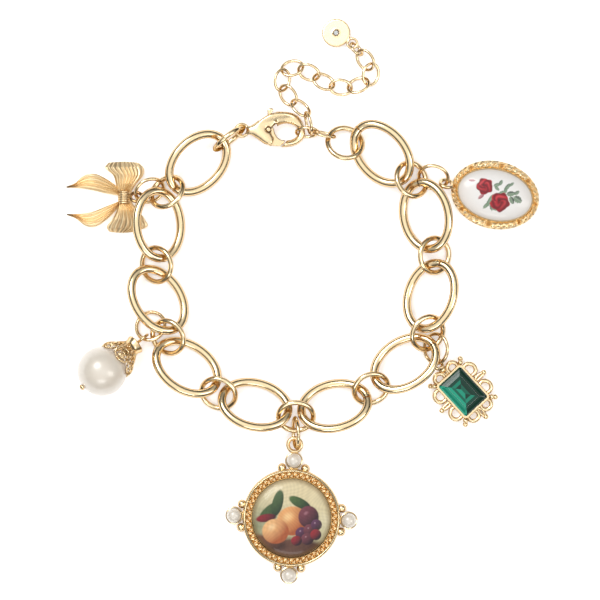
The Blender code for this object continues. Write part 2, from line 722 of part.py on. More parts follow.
def make_green(spot, along):
    """A step-cut stone in a collar with an openwork border of loops, points and grains."""
    x = GREEN_WIDTH / 2
    y = GREEN_LENGTH / 2
    corner = 0.25 * MM
    girdle = GREEN_DEPTH * 0.72

    def rectangle(wide, long, cut):
        return (
            (wide, long - cut), (wide - cut, long), (cut - wide, long), (-wide, long - cut),
            (-wide, cut - long), (cut - wide, -long), (wide - cut, -long), (wide, cut - long),
        )

    steps = (
        (0.10, 0.30, 0.08), (0.55, 0.62, 0.40), (0.84, 0.88, 0.62), (1.0, 1.0, 0.70),
        (1.0, 1.0, 0.76), (0.88, 0.91, 0.88), (0.72, 0.78, 0.96), (0.58, 0.68, 1.0),
    )
    layers = [
        (rectangle(w * x, l * y, corner * min(w, l)), 0.15 * MM + h * GREEN_DEPTH)
        for w, l, h in steps
    ]
    stone = layered("green_stone", layers, GREEN)
    stone.data.shade_flat()
    inner_x = x + STONE_GAP
    inner_y = y + STONE_GAP
    outer_x = inner_x + COLLAR_WALL
    outer_y = inner_y + COLLAR_WALL
    frame = box("green_frame", -outer_x, outer_x, -outer_y, outer_y, 0.5 * MM, girdle + 0.2 * MM)
    parts = []
    level = 1.35 * MM
    wire = SCROLL_WIRE

    def loop_at(px, py, size):
        scroll = oval_loop("scroll", size, size, wire, 9, sides=4)
        parts.append(shift(scroll, px, py, level))

    def point_at(px, py, turn):
        point = oval_loop("point", POINT_LENGTH, 0.45 * POINT_LENGTH, 0.8 * wire, 6, sides=4)
        parts.append(shift(point, px, py, level, turn))

    def grain_at(px, py):
        parts.append(shift(ball("grain", (0, 0, 0), GREEN_GRAIN / 2, 5, GOLD), px, py, level))

    big = 0.36 * GREEN_LENGTH
    small = 0.40 * GREEN_WIDTH
    for side in (-1, 1):
        for end in (-1, 1):
            loop_at(side * (outer_x + 0.28 * big), end * 0.60 * y, big)
            loop_at(side * 0.58 * x, end * (outer_y + 0.28 * small), small)
            for reach in (0.12 * GREEN_GRAIN, 0.62 * GREEN_GRAIN):
                grain_at(side * (outer_x + reach), end * (outer_y + reach))
        point_at(0, side * (outer_y + 0.35 * POINT_LENGTH), 90)
        point_at(side * (outer_x + 0.35 * POINT_LENGTH), 0, 0)
        grain_at(side * (outer_x + 0.80 * POINT_LENGTH), 0)
    neck_y = outer_y + 0.80 * POINT_LENGTH
    grain_at(0, -neck_y)
    parts.append(shift(ball("neck", (0, 0, 0), GREEN_NECK / 2, 7, GOLD), 0, neck_y, GREEN_NECK))
    eye_y = neck_y + EYE_HOLE / 2 + EYE_WIRE
    parts.append(
        upright_eye(eye_y, spot.z, eye_roll(along, GREEN_HEADING), GREEN_EYE_TURN)
    )
    combine(frame, parts, "UNION", "MANIFOLD")
    hollow = box("hollow", -inner_x, inner_x, -inner_y, inner_y, -1.0 * MM, girdle + 1.0 * MM)
    combine(frame, [hollow], "DIFFERENCE", "MANIFOLD")
    attach([frame, stone], (0, eye_y, 0), spot, GREEN_HEADING)


def make_oval(spot, along):
    """An oval charm: lobed relief border, bezel and a domed porcelain stone."""
    count = 2 * OVAL_LOBES
    top = OVAL_THICKNESS
    seat_l = OVAL_STONE_LENGTH + 2 * STONE_GAP
    seat_w = OVAL_STONE_WIDTH + 2 * STONE_GAP
    lip = 0.7 * MM
    mid_l = (OVAL_LENGTH + seat_l + lip) / 2
    mid_w = (OVAL_WIDTH + seat_w + lip) / 2
    lobes = OVAL_LOBES
    deep = 0.12 * MM
    floor = top - 1.0 * MM
    rows = (
        (oval_outline(OVAL_LENGTH - 0.5 * MM, OVAL_WIDTH - 0.5 * MM, count), 0.0),
        (oval_outline(OVAL_LENGTH - 0.2 * MM, OVAL_WIDTH - 0.2 * MM, count, lobes, deep),
         0.25 * MM),
        (oval_outline(OVAL_LENGTH - 0.2 * MM, OVAL_WIDTH - 0.2 * MM, count, lobes, deep),
         0.65 * top),
        (oval_outline(mid_l, mid_w, count, lobes, -deep), top),
        (oval_outline(seat_l + lip, seat_w + lip, count), 0.72 * top),
        (oval_outline(seat_l + 0.7 * lip, seat_w + 0.7 * lip, count), top - 0.05 * MM),
        (oval_outline(seat_l, seat_w, count), top - 0.05 * MM),
        (oval_outline(seat_l, seat_w, count), floor),
    )
    frame = layered("oval_frame", rows, GOLD)
    eye_y = OVAL_LENGTH / 2 + EYE_HOLE / 2 + 0.3 * EYE_WIRE
    eye = upright_eye(eye_y, spot.z, eye_roll(along, OVAL_HEADING))
    combine(frame, [eye], "UNION")
    base = floor + STONE_GAP
    layers = [
        (oval_outline(OVAL_STONE_LENGTH, OVAL_STONE_WIDTH, STONE_SIDES), base),
        (oval_outline(OVAL_STONE_LENGTH, OVAL_STONE_WIDTH, STONE_SIDES), top),
    ]
    for i in range(1, 5):
        angle = math.pi / 2 * i / 4.6
        size = math.cos(angle)
        height = top + OVAL_DOME * math.sin(angle)
        layers.append(
            (oval_outline(OVAL_STONE_LENGTH * size, OVAL_STONE_WIDTH * size, STONE_SIDES), height)
        )
    stone = layered("oval_cabochon", layers, PORCELAIN)
    attach([frame, stone], (0, eye_y, 0), spot, OVAL_HEADING)


# The clasp's outline from its neck round its back and nose to its lower tip, and the half
# thickness along it, as shares of CLASP_LENGTH from the middle of its eye
ClaspPoint = namedtuple("ClaspPoint", "x y")
CLASP_OUTLINE = (
    ClaspPoint(0.075, 0.055), ClaspPoint(0.135, 0.070), ClaspPoint(0.210, 0.115),
    ClaspPoint(0.310, 0.195), ClaspPoint(0.430, 0.265), ClaspPoint(0.560, 0.295),
    ClaspPoint(0.700, 0.292), ClaspPoint(0.810, 0.270), ClaspPoint(0.890, 0.225),
    ClaspPoint(0.953, 0.130), ClaspPoint(0.988, 0.035), ClaspPoint(1.000, -0.060),
    ClaspPoint(0.960, -0.150), ClaspPoint(0.880, -0.220), ClaspPoint(0.790, -0.252),
    ClaspPoint(0.690, -0.262), ClaspPoint(0.560, -0.262), ClaspPoint(0.440, -0.250),
    ClaspPoint(0.340, -0.205), ClaspPoint(0.240, -0.130), ClaspPoint(0.150, -0.075),
    ClaspPoint(0.075, -0.060),
)
ClaspDepth = namedtuple("ClaspDepth", "x thick")
CLASP_DEPTHS = (
    ClaspDepth(0.0, 0.45), ClaspDepth(0.12, 0.50), ClaspDepth(0.28, 0.85), ClaspDepth(0.45, 1.0),
    ClaspDepth(0.70, 0.85), ClaspDepth(0.86, 0.38), ClaspDepth(1.0, 0.33),
)
CLASP_HOLE_X = 0.702
CLASP_HOLE_Y = -0.025
CLASP_HOLE_LENGTH = 0.380
CLASP_HOLE_WIDTH = 0.270
PIVOT_X = 0.415
PIVOT_Y = 0.010


def clasp_depth(x):
    """Half the clasp's thickness at a share of its length."""
    for low, high in zip(CLASP_DEPTHS, CLASP_DEPTHS[1:]):
        if x <= high.x:
            share = (x - low.x) / (high.x - low.x)
            return (low.thick + share * (high.thick - low.thick)) * CLASP_THICKNESS / 2
    return CLASP_DEPTHS[-1].thick * CLASP_THICKNESS / 2


def make_clasp(spot, heading):
    """The lobster clasp's body, its sprung lever and the pin that the lever turns on."""
    size = CLASP_LENGTH
    rings = []
    for level, inset in ((-1.0, 0.050), (-0.6, 0.012), (0.0, 0.0), (0.6, 0.012), (1.0, 0.050)):
        ring = []
        for i, point in enumerate(CLASP_OUTLINE):
            before = CLASP_OUTLINE[i - 1]
            after = CLASP_OUTLINE[(i + 1) % len(CLASP_OUTLINE)]
            normal = Vector((before.y - after.y, after.x - before.x)).normalized()
            x = point.x - normal.x * inset * 0.6
            y = point.y - normal.y * inset * 0.6
            ring.append(Vector((x * size, y * size, level * clasp_depth(point.x))))
        rings.append(ring)
    points, faces = skin(rings, closed=False)
    body = mesh_object("clasp_body", points, faces, GOLD)
    deep = CLASP_THICKNESS

    def cut_prism(outline, low, high):
        return prism("cut", [(x * size, y * size) for x, y in outline], low, high, GOLD)

    flare = []
    for level, grow in ((-1.2, 1.6), (-0.35, 1.4), (-0.1, 1.0), (0.1, 1.0), (0.35, 1.4), (1.2, 1.6)):
        outline = oval_outline(
            CLASP_HOLE_WIDTH * (grow + 1) / 2 * size,
            CLASP_HOLE_LENGTH * (2 * grow + 1) / 3 * size,
            16,
        )
        outline = [(x + CLASP_HOLE_X * size, y + CLASP_HOLE_Y * size) for x, y in outline]
        flare.append((outline, level * CLASP_THICKNESS / 2))
    gate = (
        (0.560, 0.050), (0.440, -0.320), (0.560, -0.320), (0.614, -0.262),
        (0.669, -0.210), (0.705, -0.160), (0.705, -0.120),
    )
    slot_half = LEVER_THICKNESS / 2 + LEVER_GAP
    slot = (
        (0.555, 0.060), (0.530, 0.370), (0.210, 0.370), (0.280, 0.100), (0.310, -0.060),
        (0.365, -0.120), (0.415, -0.320), (0.550, -0.320), (0.590, -0.270),
        (0.640, -0.215), (0.660, -0.120),
    )
    combine(body, [layered("hole", flare, GOLD)], "DIFFERENCE")
    combine(body, [cut_prism(gate, -deep, deep)], "DIFFERENCE")
    combine(body, [cut_prism(slot, -slot_half, slot_half)], "DIFFERENCE")
    pivot = (PIVOT_X * size, PIVOT_Y * size)
    pin = PIN_DIAMETER / 2

    def rod(name, radius, half, count=16):
        item = revolved(
            name, ((0, -half), (radius, -half), (radius, half), (0, half)), count, GOLD
        )
        return shift(item, pivot[0], pivot[1], 0)

    combine(body, [rod("bore", pin + PIN_GAP, deep)], "DIFFERENCE")
    eye_size = CLASP_EYE_HOLE + 2 * CLASP_EYE_WIRE
    combine(body, [oval_loop("eye", eye_size, eye_size, CLASP_EYE_WIRE, 14)], "UNION")
    lever_shape = (
        (0.405, 0.330), (0.440, 0.352), (0.485, 0.345), (0.495, 0.315), (0.470, 0.280),
        (0.475, 0.080), (0.500, 0.020), (0.520, -0.050), (0.560, -0.118), (0.620, -0.152),
        (0.690, -0.158), (0.655, -0.205), (0.605, -0.252), (0.450, -0.242), (0.410, -0.150),
        (0.372, -0.055), (0.345, 0.010), (0.372, 0.080), (0.415, 0.110), (0.405, 0.250),
    )
    half = LEVER_THICKNESS / 2
    lever = prism(
        "clasp_lever", [(x * size, y * size) for x, y in lever_shape], -half, half, GOLD
    )
    combine(lever, [rod("bore", pin + PIN_GAP, deep)], "DIFFERENCE")
    axle = rod("clasp_pin", pin, 0.92 * clasp_depth(PIVOT_X))
    droop = math.asin((CLASP_HEIGHT - CLASP_NOSE_HEIGHT) / (0.93 * CLASP_LENGTH))
    turn = Matrix.Rotation(math.radians(heading), 4, "Z") @ Matrix.Rotation(droop, 4, "Y")
    lay = Matrix.Translation((spot.x, spot.y, CLASP_HEIGHT)) @ turn
    for item in (body, lever, axle):
        item.matrix_world = lay
    bpy.context.view_layer.update()


def make_closing():
    """The ring at the clasp's end, the clasp, the extender and the tag."""
    ring = lay_loop(
        "clasp_ring", CLASP_RING, LINK_PITCH, (0, 0),
        RING_DIAMETER, RING_DIAMETER, RING_WIRE, RING_SIDES,
    )
    spot, _ = wire_spot(ring, RING_DIAMETER, RING_DIAMETER, RING_WIRE, CLASP_RING_TURN)
    make_clasp(spot, CLASP_HEADING)
    reach = CLASP_LENGTH * (CLASP_HOLE_X + CLASP_HOLE_LENGTH / 2)
    reach += EXTENDER_LENGTH / 2 - EXTENDER_WIRE - HOOK_GAP
    start = (spot.x + reach, spot.y + CLASP_HOOK_Y * CLASP_LENGTH)
    for number, place in enumerate(EXTENDER_LINKS):
        lay_loop(
            f"extender_link_{number:02d}", place, EXTENDER_LENGTH, start,
            EXTENDER_LENGTH, EXTENDER_WIDTH, EXTENDER_WIRE, EXTENDER_SIDES,
        )
    return lay_loop(
        "tag_jump_ring", TAG_RING, EXTENDER_LENGTH, start,
        TAG_RING_DIAMETER, TAG_RING_DIAMETER, EXTENDER_WIRE, EXTENDER_SIDES,
    )


def make_tag(tag_ring):
    """A plain round tag with a small eye, and a small clear stone in its middle."""
    radius = TAG_DIAMETER / 2
    top = TAG_THICKNESS
    stone = TAG_STONE / 2
    profile = (
        (0, 0), (radius - 0.1 * MM, 0), (radius, 0.15 * MM), (radius, top - 0.15 * MM),
        (radius - 0.15 * MM, top), (stone + 0.25 * MM, top), (stone + 0.2 * MM, top + 0.15 * MM),
        (stone + STONE_GAP, top + 0.15 * MM), (stone + STONE_GAP, 0.35 * MM), (0, 0.35 * MM),
    )
    disc = revolved("tag_disc", profile, 16, GOLD)
    eye_y = radius + TAG_EYE_HOLE / 2 + TAG_EYE_WIRE / 2
    combine(disc, [flat_eye(eye_y, TAG_THICKNESS / 2, TAG_EYE_HOLE, TAG_EYE_WIRE)], "UNION")
    gem = revolved(
        "tag_stone",
        ((0, 0.45 * MM), (stone * 0.7, 0.5 * MM), (stone, top), (stone * 0.6, top + 0.25 * MM),
         (0, top + 0.25 * MM)),
        8, CLEAR,
    )
    gem.data.shade_flat()
    spot, _ = wire_spot(
        tag_ring, TAG_RING_DIAMETER, TAG_RING_DIAMETER, EXTENDER_WIRE, TAG_RING_TURN
    )
    tip = math.asin(spot.z / (radius + eye_y) * TAG_TIP_SHARE)
    lay = Matrix.Translation((0, 0, radius * math.sin(tip))) @ Matrix.Rotation(tip, 4, "X")
    for item in (disc, gem):
        item.data.transform(lay)
    attach([disc, gem], (0, eye_y * math.cos(tip), 0), spot, TAG_HEADING)


def seat_on_floor():
    """Moves everything together so that it stands on z = 0, over the middle of its own box."""
    bpy.context.view_layer.update()
    items = [item for item in bpy.data.objects if item.type == "MESH"]
    corners = [item.matrix_world @ v.co for item in items for v in item.data.vertices]
    low = Vector([min(c[i] for c in corners) for i in range(3)])
    high = Vector([max(c[i] for c in corners) for i in range(3)])
    base = bpy.data.objects.new("base", None)
    bpy.context.scene.collection.objects.link(base)
    for item in items:
        item.parent = base
    base.location = -Vector(((low.x + high.x) / 2, (low.y + high.y) / 2, low.z))


def main():
    clear_scene()
    rings = make_chain()
    tag_ring = make_closing()
    make_tag(tag_ring)
    make_bow(*hang("bow_jump_ring", BOW_RING, rings))
    make_pearl(*hang("pearl_jump_ring", PEARL_RING, rings))
    make_medallion(*hang("medallion_jump_ring", MEDALLION_RING, rings))
    make_green(*hang("green_jump_ring", GREEN_RING, rings))
    make_oval(*hang("oval_jump_ring", OVAL_RING, rings))
    seat_on_floor()


main()
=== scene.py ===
"""Looks of the charm bracelet: smooth gold wire, cast relief, pearls, a cut stone and painted stones,
on a white floor under soft studio light, seen from straight above."""

import math
from collections import namedtuple

import bmesh
import bpy
import numpy as np
from mathutils import Matrix, Vector


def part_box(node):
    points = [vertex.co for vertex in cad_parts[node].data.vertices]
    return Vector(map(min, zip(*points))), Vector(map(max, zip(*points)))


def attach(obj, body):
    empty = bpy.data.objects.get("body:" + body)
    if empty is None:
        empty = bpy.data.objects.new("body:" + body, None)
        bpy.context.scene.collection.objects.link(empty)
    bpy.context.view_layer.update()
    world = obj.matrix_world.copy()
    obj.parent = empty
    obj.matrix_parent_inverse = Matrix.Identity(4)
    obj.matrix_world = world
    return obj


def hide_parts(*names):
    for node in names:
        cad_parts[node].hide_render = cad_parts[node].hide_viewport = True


MM = 0.001
TAU = 2 * math.pi

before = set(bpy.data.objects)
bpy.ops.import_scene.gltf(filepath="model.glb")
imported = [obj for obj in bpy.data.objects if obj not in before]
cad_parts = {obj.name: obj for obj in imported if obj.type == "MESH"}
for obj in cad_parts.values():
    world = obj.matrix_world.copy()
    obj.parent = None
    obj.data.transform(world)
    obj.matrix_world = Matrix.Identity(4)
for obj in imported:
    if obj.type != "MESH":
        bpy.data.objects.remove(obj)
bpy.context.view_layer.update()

BODY = "bracelet"
LEVER_BODY = "lever"

# Wire diameters and sizes that the solids are made to
LINK_WIRE = 2.0 * MM
RING_WIRE = 1.2 * MM
CHARM_RING_WIRE = 0.85 * MM
EXTENDER_WIRE = 0.65 * MM
LINK_SEAM = 0.3 * MM
RING_SEAM = 0.07 * MM
EYE_WIRE = 0.8 * MM
EYE_HOLE = 2.0 * MM
STONE_GAP = 0.06 * MM

# The view: the picture's width and middle on the floor, and the camera's height
VIEW_WIDTH = 139.0 * MM
VIEW_MIDDLE = (-0.58 * MM, 0.35 * MM)
CAMERA_HEIGHT = 1.2
SENSOR = 36.0


def find_points(node):
    """The different corners of a CAD node, one row each."""
    points = np.array([corner.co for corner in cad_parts[node].data.vertices], float)
    return np.unique(np.round(points, 7), axis=0)


def box_middle(node):
    low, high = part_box(node)
    return (np.array(low) + np.array(high)) / 2


def heading_of(way):
    """The direction of a vector on the floor, in degrees."""
    return math.degrees(math.atan2(way[1], way[0]))


Frame = namedtuple("Frame", "centre x y z long wide")


def fit_frame(node):
    """A flat node's own frame: x along its longest way, y across, z out of its plane, half sizes."""
    points = find_points(node)
    mean = points.mean(0)
    _, _, axes = np.linalg.svd(points - mean, full_matrices=False)
    along = (points - mean) @ axes.T
    low, high = along.min(0), along.max(0)
    middle, half = (high + low) / 2, (high - low) / 2
    x, y, z = axes
    if middle[0] > 0:
        x = -x
    if z[2] < 0:
        z = -z
    return Frame(mean + middle @ axes, x, np.cross(z, x), z, half[0], half[1])


def add_object(name, data):
    item = bpy.data.objects.new(name, data)
    bpy.context.scene.collection.objects.link(item)
    return item


def add_painted_shade(mesh, shade):
    """Stores the gold's painted shade at each point of a mesh."""
    layer = mesh.attributes.new("painted_shade", "FLOAT", "POINT")
    layer.data.foreach_set("value", np.asarray(shade, np.float32).ravel())


def make_mesh(name, points, faces, material, painted_shade=None, paint=None, sharp=40):
    """A smooth object with its gold's painted shade or its paint at its points."""
    mesh = bpy.data.meshes.new(name)
    mesh.from_pydata(np.asarray(points, float).tolist(), [], faces)
    made = bmesh.new()
    made.from_mesh(mesh)
    bmesh.ops.recalc_face_normals(made, faces=made.faces)
    made.to_mesh(mesh)
    made.free()
    mesh.shade_smooth()
    mesh.set_sharp_from_angle(angle=math.radians(sharp))
    if painted_shade is not None:
        add_painted_shade(mesh, painted_shade)
    if paint is not None:
        layer = mesh.attributes.new("paint", "FLOAT_COLOR", "POINT")
        rgba = np.ones((len(points), 4), np.float32)
        rgba[:, :3] = np.asarray(paint).reshape(-1, 3)
        layer.data.foreach_set("color", rgba.ravel())
    mesh.materials.append(material)
    return add_object(name, mesh)


def grid_faces(rows, columns, closed=False, caps=False):
    """The faces over rows of points, each a ring. The last row can meet the first again."""
    faces = []
    for i in range(rows if closed else rows - 1):
        a = i * columns
        b = (i + 1) % rows * columns
        for j in range(columns):
            k = (j + 1) % columns
            faces.append((a + j, a + k, b + k, b + j))
    if caps:
        faces.append(tuple(range(columns)))
        last = (rows - 1) * columns
        faces.append(tuple(range(last, last + columns)))
    return faces


def poled_faces(rows, columns, first, last):
    """The faces over rows of points with a pole before the first and past the last."""
    faces = grid_faces(rows, columns)
    end = (rows - 1) * columns
    for j in range(columns):
        k = (j + 1) % columns
        faces += [(first, k, j), (last, end + j, end + k)]
    return faces


def place(item, slot, *nodes, body=BODY):
    """Lets a piece ride on its body and hides the CAD nodes that it stands for. Its slot is not used.
    """
    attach(item, body)
    if nodes:
        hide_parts(*nodes)
    return item


def join(name, items):
    """One object from several, with the first one's material and attributes."""
    for item in bpy.context.selected_objects:
        item.select_set(False)
    for item in items:
        item.select_set(True)
    bpy.context.view_layer.objects.active = items[0]
    bpy.ops.object.join()
    joined = bpy.context.view_layer.objects.active
    joined.name = name
    return joined


def smoothstep(low, high, value):
    share = np.clip((value - low) / (high - low), 0, 1)
    return share * share * (3 - 2 * share)


def side_shade(upward):
    """The gold's painted shade where a surface turns away from straight up."""
    return SIDE_SHADE_STRENGTH * (1 - smoothstep(0.05, 0.75, upward))


def tube(name, centres, ups, radius, material, sides=16, closed=True, tone=None):
    """A wire along a row of centres, its sections kept upright by the given directions."""
    centres = np.asarray(centres, float)
    ups = np.broadcast_to(np.asarray(ups, float), centres.shape)
    if closed:
        ahead = np.roll(centres, -1, 0) - np.roll(centres, 1, 0)
    else:
        ahead = np.gradient(centres, axis=0)
    ahead /= np.linalg.norm(ahead, axis=1)[:, None]
    out = np.cross(ahead, ups)
    out /= np.linalg.norm(out, axis=1)[:, None]
    up = np.cross(out, ahead)
    angle = TAU * np.arange(sides) / sides
    radius = np.broadcast_to(radius, len(centres))[:, None, None]
    east, north = np.cos(angle)[None, :, None], np.sin(angle)[None, :, None]
    normals = east * out[:, None, :] + north * up[:, None, :]
    points = (centres[:, None, :] + radius * normals).reshape(-1, 3)
    faces = grid_faces(len(centres), sides, closed, caps=not closed)
    # Painted shade on the wire's sides that turn away from straight up, or one given level of it
    shade = side_shade(normals[..., 2]) if tone is None else np.full(len(points), tone)
    return make_mesh(name, points, faces, material, painted_shade=shade)


def around(angle, wide, long, height):
    """The points of an ellipse at some angles, with one height or a height for each."""
    high = np.broadcast_to(height, angle.shape)
    return np.stack([wide * np.cos(angle), long * np.sin(angle), high], axis=-1)


def loop_path(long_half, wide_half, count, seam=0.0):
    """The points of an oval's centre line in its own plane, from its seam round to it again."""
    opening = seam / wide_half
    angle = opening / 2 + (TAU - opening) * np.arange(count) / (count - 1 if seam else count)
    return around(angle, long_half, wide_half, 0.0)


def centre_line(node, wire, count, seam=0.0):
    """A round-wire CAD node's centre line, and the way out of its plane."""
    at = fit_frame(node)
    flat = loop_path(at.long - wire / 2, at.wide - wire / 2, count, seam)
    return at.centre + flat @ np.array([at.x, at.y, at.z]), at.z


def smooth_loop(node, wire, seam, count, sides):
    """A round-wire loop on the same centre line as its CAD node."""
    centres, up = centre_line(node, wire, count, seam)
    item = tube(f"{node}_wire", centres, up, wire / 2, POLISHED, sides, closed=not seam)
    return place(item, "gold", node)


def sphere(name, centre, radius, material, rows=16, columns=24):
    centre = np.asarray(centre, float)
    rise = np.pi * (np.arange(rows) + 0.5) / rows
    angle = TAU * np.arange(columns) / columns
    rings = [around(angle, reach, reach, high) for reach, high in zip(np.sin(rise), np.cos(rise))]
    points = centre + radius * np.vstack([*rings, [[0, 0, 1], [0, 0, -1]]])
    faces = poled_faces(rows, columns, rows * columns, rows * columns + 1)
    # Painted shade on the sphere's sides that turn away from straight up
    upward = (points[:, 2] - centre[2]) / radius
    return make_mesh(name, points, faces, material, painted_shade=side_shade(upward))


def local_matrix(centre, heading):
    """A charm's own frame: +Y towards its eye, +Z up, on the floor under its centre."""
    turn = Matrix.Rotation(math.radians(heading - 90), 4, "Z")
    return Matrix.Translation((centre[0], centre[1], 0)) @ turn


def set_in(item, matrix):
    """Moves a piece's mesh from its charm's own frame into the part's."""
    item.data.transform(matrix)
    return item


def mix(a, b, share):
    """A colour between two, one row for each share."""
    share = np.asarray(share)[..., None]
    return np.asarray(a) * (1 - share) + np.asarray(b) * share


# Materials

GOLD = (0.94, 0.765, 0.485)
GOLD_WARM = (0.915, 0.68, 0.39)
# The colour of the gold's painted shade in crevices and on its sides
GOLD_PAINTED_SHADE = (0.48, 0.265, 0.095)
GOLD_EDGE = (0.42, 0.26, 0.11)
# How strong the gold's painted shade is on a wire's side
SIDE_SHADE_STRENGTH = 0.80


def new_material(name):
    material = bpy.data.materials.new(name)
    material.use_nodes = True
    tree = material.node_tree
    return material, tree, tree.nodes["Principled BSDF"]


def set_inputs(node, values):
    for name, value in values.items():
        node.inputs[name].default_value = value


def add_attribute(tree, name, output):
    node = tree.nodes.new("ShaderNodeAttribute")
    node.attribute_name = name
    return node.outputs[output]


def add_noise(tree, scale, detail=2.0):
    coords = tree.nodes.new("ShaderNodeTexCoord")
    noise = tree.nodes.new("ShaderNodeTexNoise")
    set_inputs(noise, {"Scale": scale, "Detail": detail})
    tree.links.new(coords.outputs["Object"], noise.inputs["Vector"])
    return noise.outputs["Fac"]


def add_bump(tree, shader, height, depth, strength):
    bump = tree.nodes.new("ShaderNodeBump")
    set_inputs(bump, {"Strength": strength, "Distance": depth})
    tree.links.new(height, bump.inputs["Height"])
    tree.links.new(bump.outputs["Normal"], shader.inputs["Normal"])


def remap(tree, value, low, high):
    node = tree.nodes.new("ShaderNodeMapRange")
    set_inputs(node, {"To Min": low, "To Max": high})
    tree.links.new(value, node.inputs["Value"])
    return node.outputs["Result"]


def blend_colours(tree, share, first, second):
    node = tree.nodes.new("ShaderNodeMix")
    node.data_type = "RGBA"
    for socket, value in ((node.inputs[6], first), (node.inputs[7], second)):
        if isinstance(value, tuple):
            socket.default_value = (*value, 1)
        else:
            tree.links.new(value, socket)
    tree.links.new(share, node.inputs[0])
    return node.outputs[2]


def gold_material(name, smooth, rough, grain_depth):
    """Pale plated gold with painted shade, darker in its crevices and on its sides, and a faint cast
    or polished grain.
    """
    material, tree, shader = new_material(name)
    set_inputs(shader, {"Metallic": 1.0, "Specular Tint": (*GOLD_EDGE, 1)})
    tone = remap(tree, add_noise(tree, 260), 0.0, 0.35)
    warm = blend_colours(tree, tone, GOLD, GOLD_WARM)
    # Painted shade: the shade stored at the mesh's points darkens the gold's colour
    colour = blend_colours(tree, add_attribute(tree, "painted_shade", "Fac"), warm, GOLD_PAINTED_SHADE)
    tree.links.new(colour, shader.inputs["Base Color"])
    tree.links.new(remap(tree, add_noise(tree, 900, 3), smooth, rough), shader.inputs["Roughness"])
    add_bump(tree, shader, add_noise(tree, 2200, 3), grain_depth, 0.35)
    return material


def pearl_material():
    """Cream lustre under a thick soft coat."""
    material, tree, shader = new_material("pearl_lustre")
    tint = blend_colours(tree, add_noise(tree, 330), (0.71, 0.63, 0.53), (0.76, 0.72, 0.64))
    tree.links.new(tint, shader.inputs["Base Color"])
    set_inputs(shader, {
        "Roughness": 0.30, "Coat Weight": 1.0, "Coat IOR": 1.7, "Coat Roughness": 0.28,
        "Specular IOR Level": 0.75, "Sheen Weight": 0.25, "Sheen Tint": (1.0, 0.86, 0.84, 1),
    })
    add_bump(tree, shader, add_noise(tree, 1500, 2), 0.00001, 0.3)
    return material


def painted_material(name, roughness, coat, specular=0.3):
    """A glossy surface in the colours painted on its mesh."""
    material, tree, shader = new_material(name)
    tree.links.new(add_attribute(tree, "paint", "Color"), shader.inputs["Base Color"])
    set_inputs(shader, {
        "Roughness": roughness, "Coat Weight": coat, "Coat Roughness": 0.04,
        "Specular IOR Level": specular,
    })
    add_bump(tree, shader, add_noise(tree, 1300, 2), 0.000012, 0.25)
    return material


def floor_material():
    material, tree, shader = new_material("white_floor")
    set_inputs(shader, {
        "Base Color": (0.96, 0.96, 0.96, 1), "Roughness": 0.7,
        "Emission Color": (1, 1, 1, 1), "Emission Strength": 0.42,
    })
    return material


POLISHED = gold_material("polished_gold", 0.15, 0.22, 0.000012)
SOFT = gold_material("soft_gold", 0.24, 0.31, 0.00001)
CAST = gold_material("cast_gold", 0.20, 0.30, 0.00002)
SATIN = gold_material("satin_gold", 0.34, 0.44, 0.00001)
PEARL = pearl_material()
ENAMEL = painted_material("painted_enamel", 0.38, 0.25)
PORCELAIN = painted_material("painted_porcelain", 0.30, 0.35)
CRYSTAL = painted_material("green_crystal", 0.12, 0.05)
CLEAR = painted_material("clear_crystal", 0.05, 1.0, 0.5)


def make_chain():
    """Every link, ring and jump ring as smooth wire on its CAD centre line."""
    for node in sorted(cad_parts):
        if node.startswith("oval_link"):
            smooth_loop(node, LINK_WIRE, LINK_SEAM, 128, 24)
        elif node.startswith("round_ring") or node == "clasp_ring":
            smooth_loop(node, RING_WIRE, RING_SEAM, 80, 18)
        elif node.startswith("extender_link") or node == "tag_jump_ring":
            smooth_loop(node, EXTENDER_WIRE, RING_SEAM, 56, 12)
        elif node.endswith("_jump_ring"):
            smooth_loop(node, CHARM_RING_WIRE, RING_SEAM, 64, 14)


# The round medallion
MEDALLION_RADIUS = 11.35 * MM
MEDALLION_TOP = 2.3 * MM
MEDALLION_STONE = 9.0 * MM
MEDALLION_DOME = 2.0 * MM
MEDALLION_SEAT = 1.1 * MM
MEDALLION_REPEATS = 44
MEDALLION_LIP = 0.40 * MM
MEDALLION_RIM = 0.85 * MM
BAND_DEPTH = 0.62 * MM
BAND_RELIEF = 0.5 * MM
BAND_STEPS = 22
SMALL_PEARL = 3.4 * MM
CUP_WALL = 0.37 * MM
GRAIN = 2.0 * MM
FLAT_EYE_HEIGHT = 1.7 * MM
FLAT_EYE_HOLE = 2.3 * MM


def scroll_relief(cell, across):
    """The height, 0 to 1, of one scroll of the border: an S bar between two upright bars."""
    bend = 0.27 * np.sin(TAU * across)
    scroll = np.exp(-(((cell - 0.5 - bend) / 0.09) ** 2))
    bar = np.exp(-((np.minimum(cell, 1 - cell) / 0.07) ** 2))
    bead = np.exp(-(((cell - 0.5) ** 2 + (across - 0.5) ** 2) / 0.018))
    return np.clip(np.maximum(np.maximum(scroll, 0.8 * bar), bead), 0, 1)


def revolved_relief(name, stations, count, relief, matrix):
    """A turned solid. A station is a radius, a height and, on the relief, its share across that."""
    angle = TAU * np.arange(count) / count
    rows = []
    depth = []
    for radius, height, *share in stations:
        # The relief gives each point's rise and its painted shade
        rise, shade = relief(angle, *share) if share else np.zeros((2, count))
        rows.append(around(angle, radius, radius, height + rise))
        depth.append(shade)
    faces = grid_faces(len(stations), count, True)
    item = make_mesh(name, np.concatenate(rows), faces, CAST, painted_shade=np.concatenate(depth))
    return set_in(item, matrix)


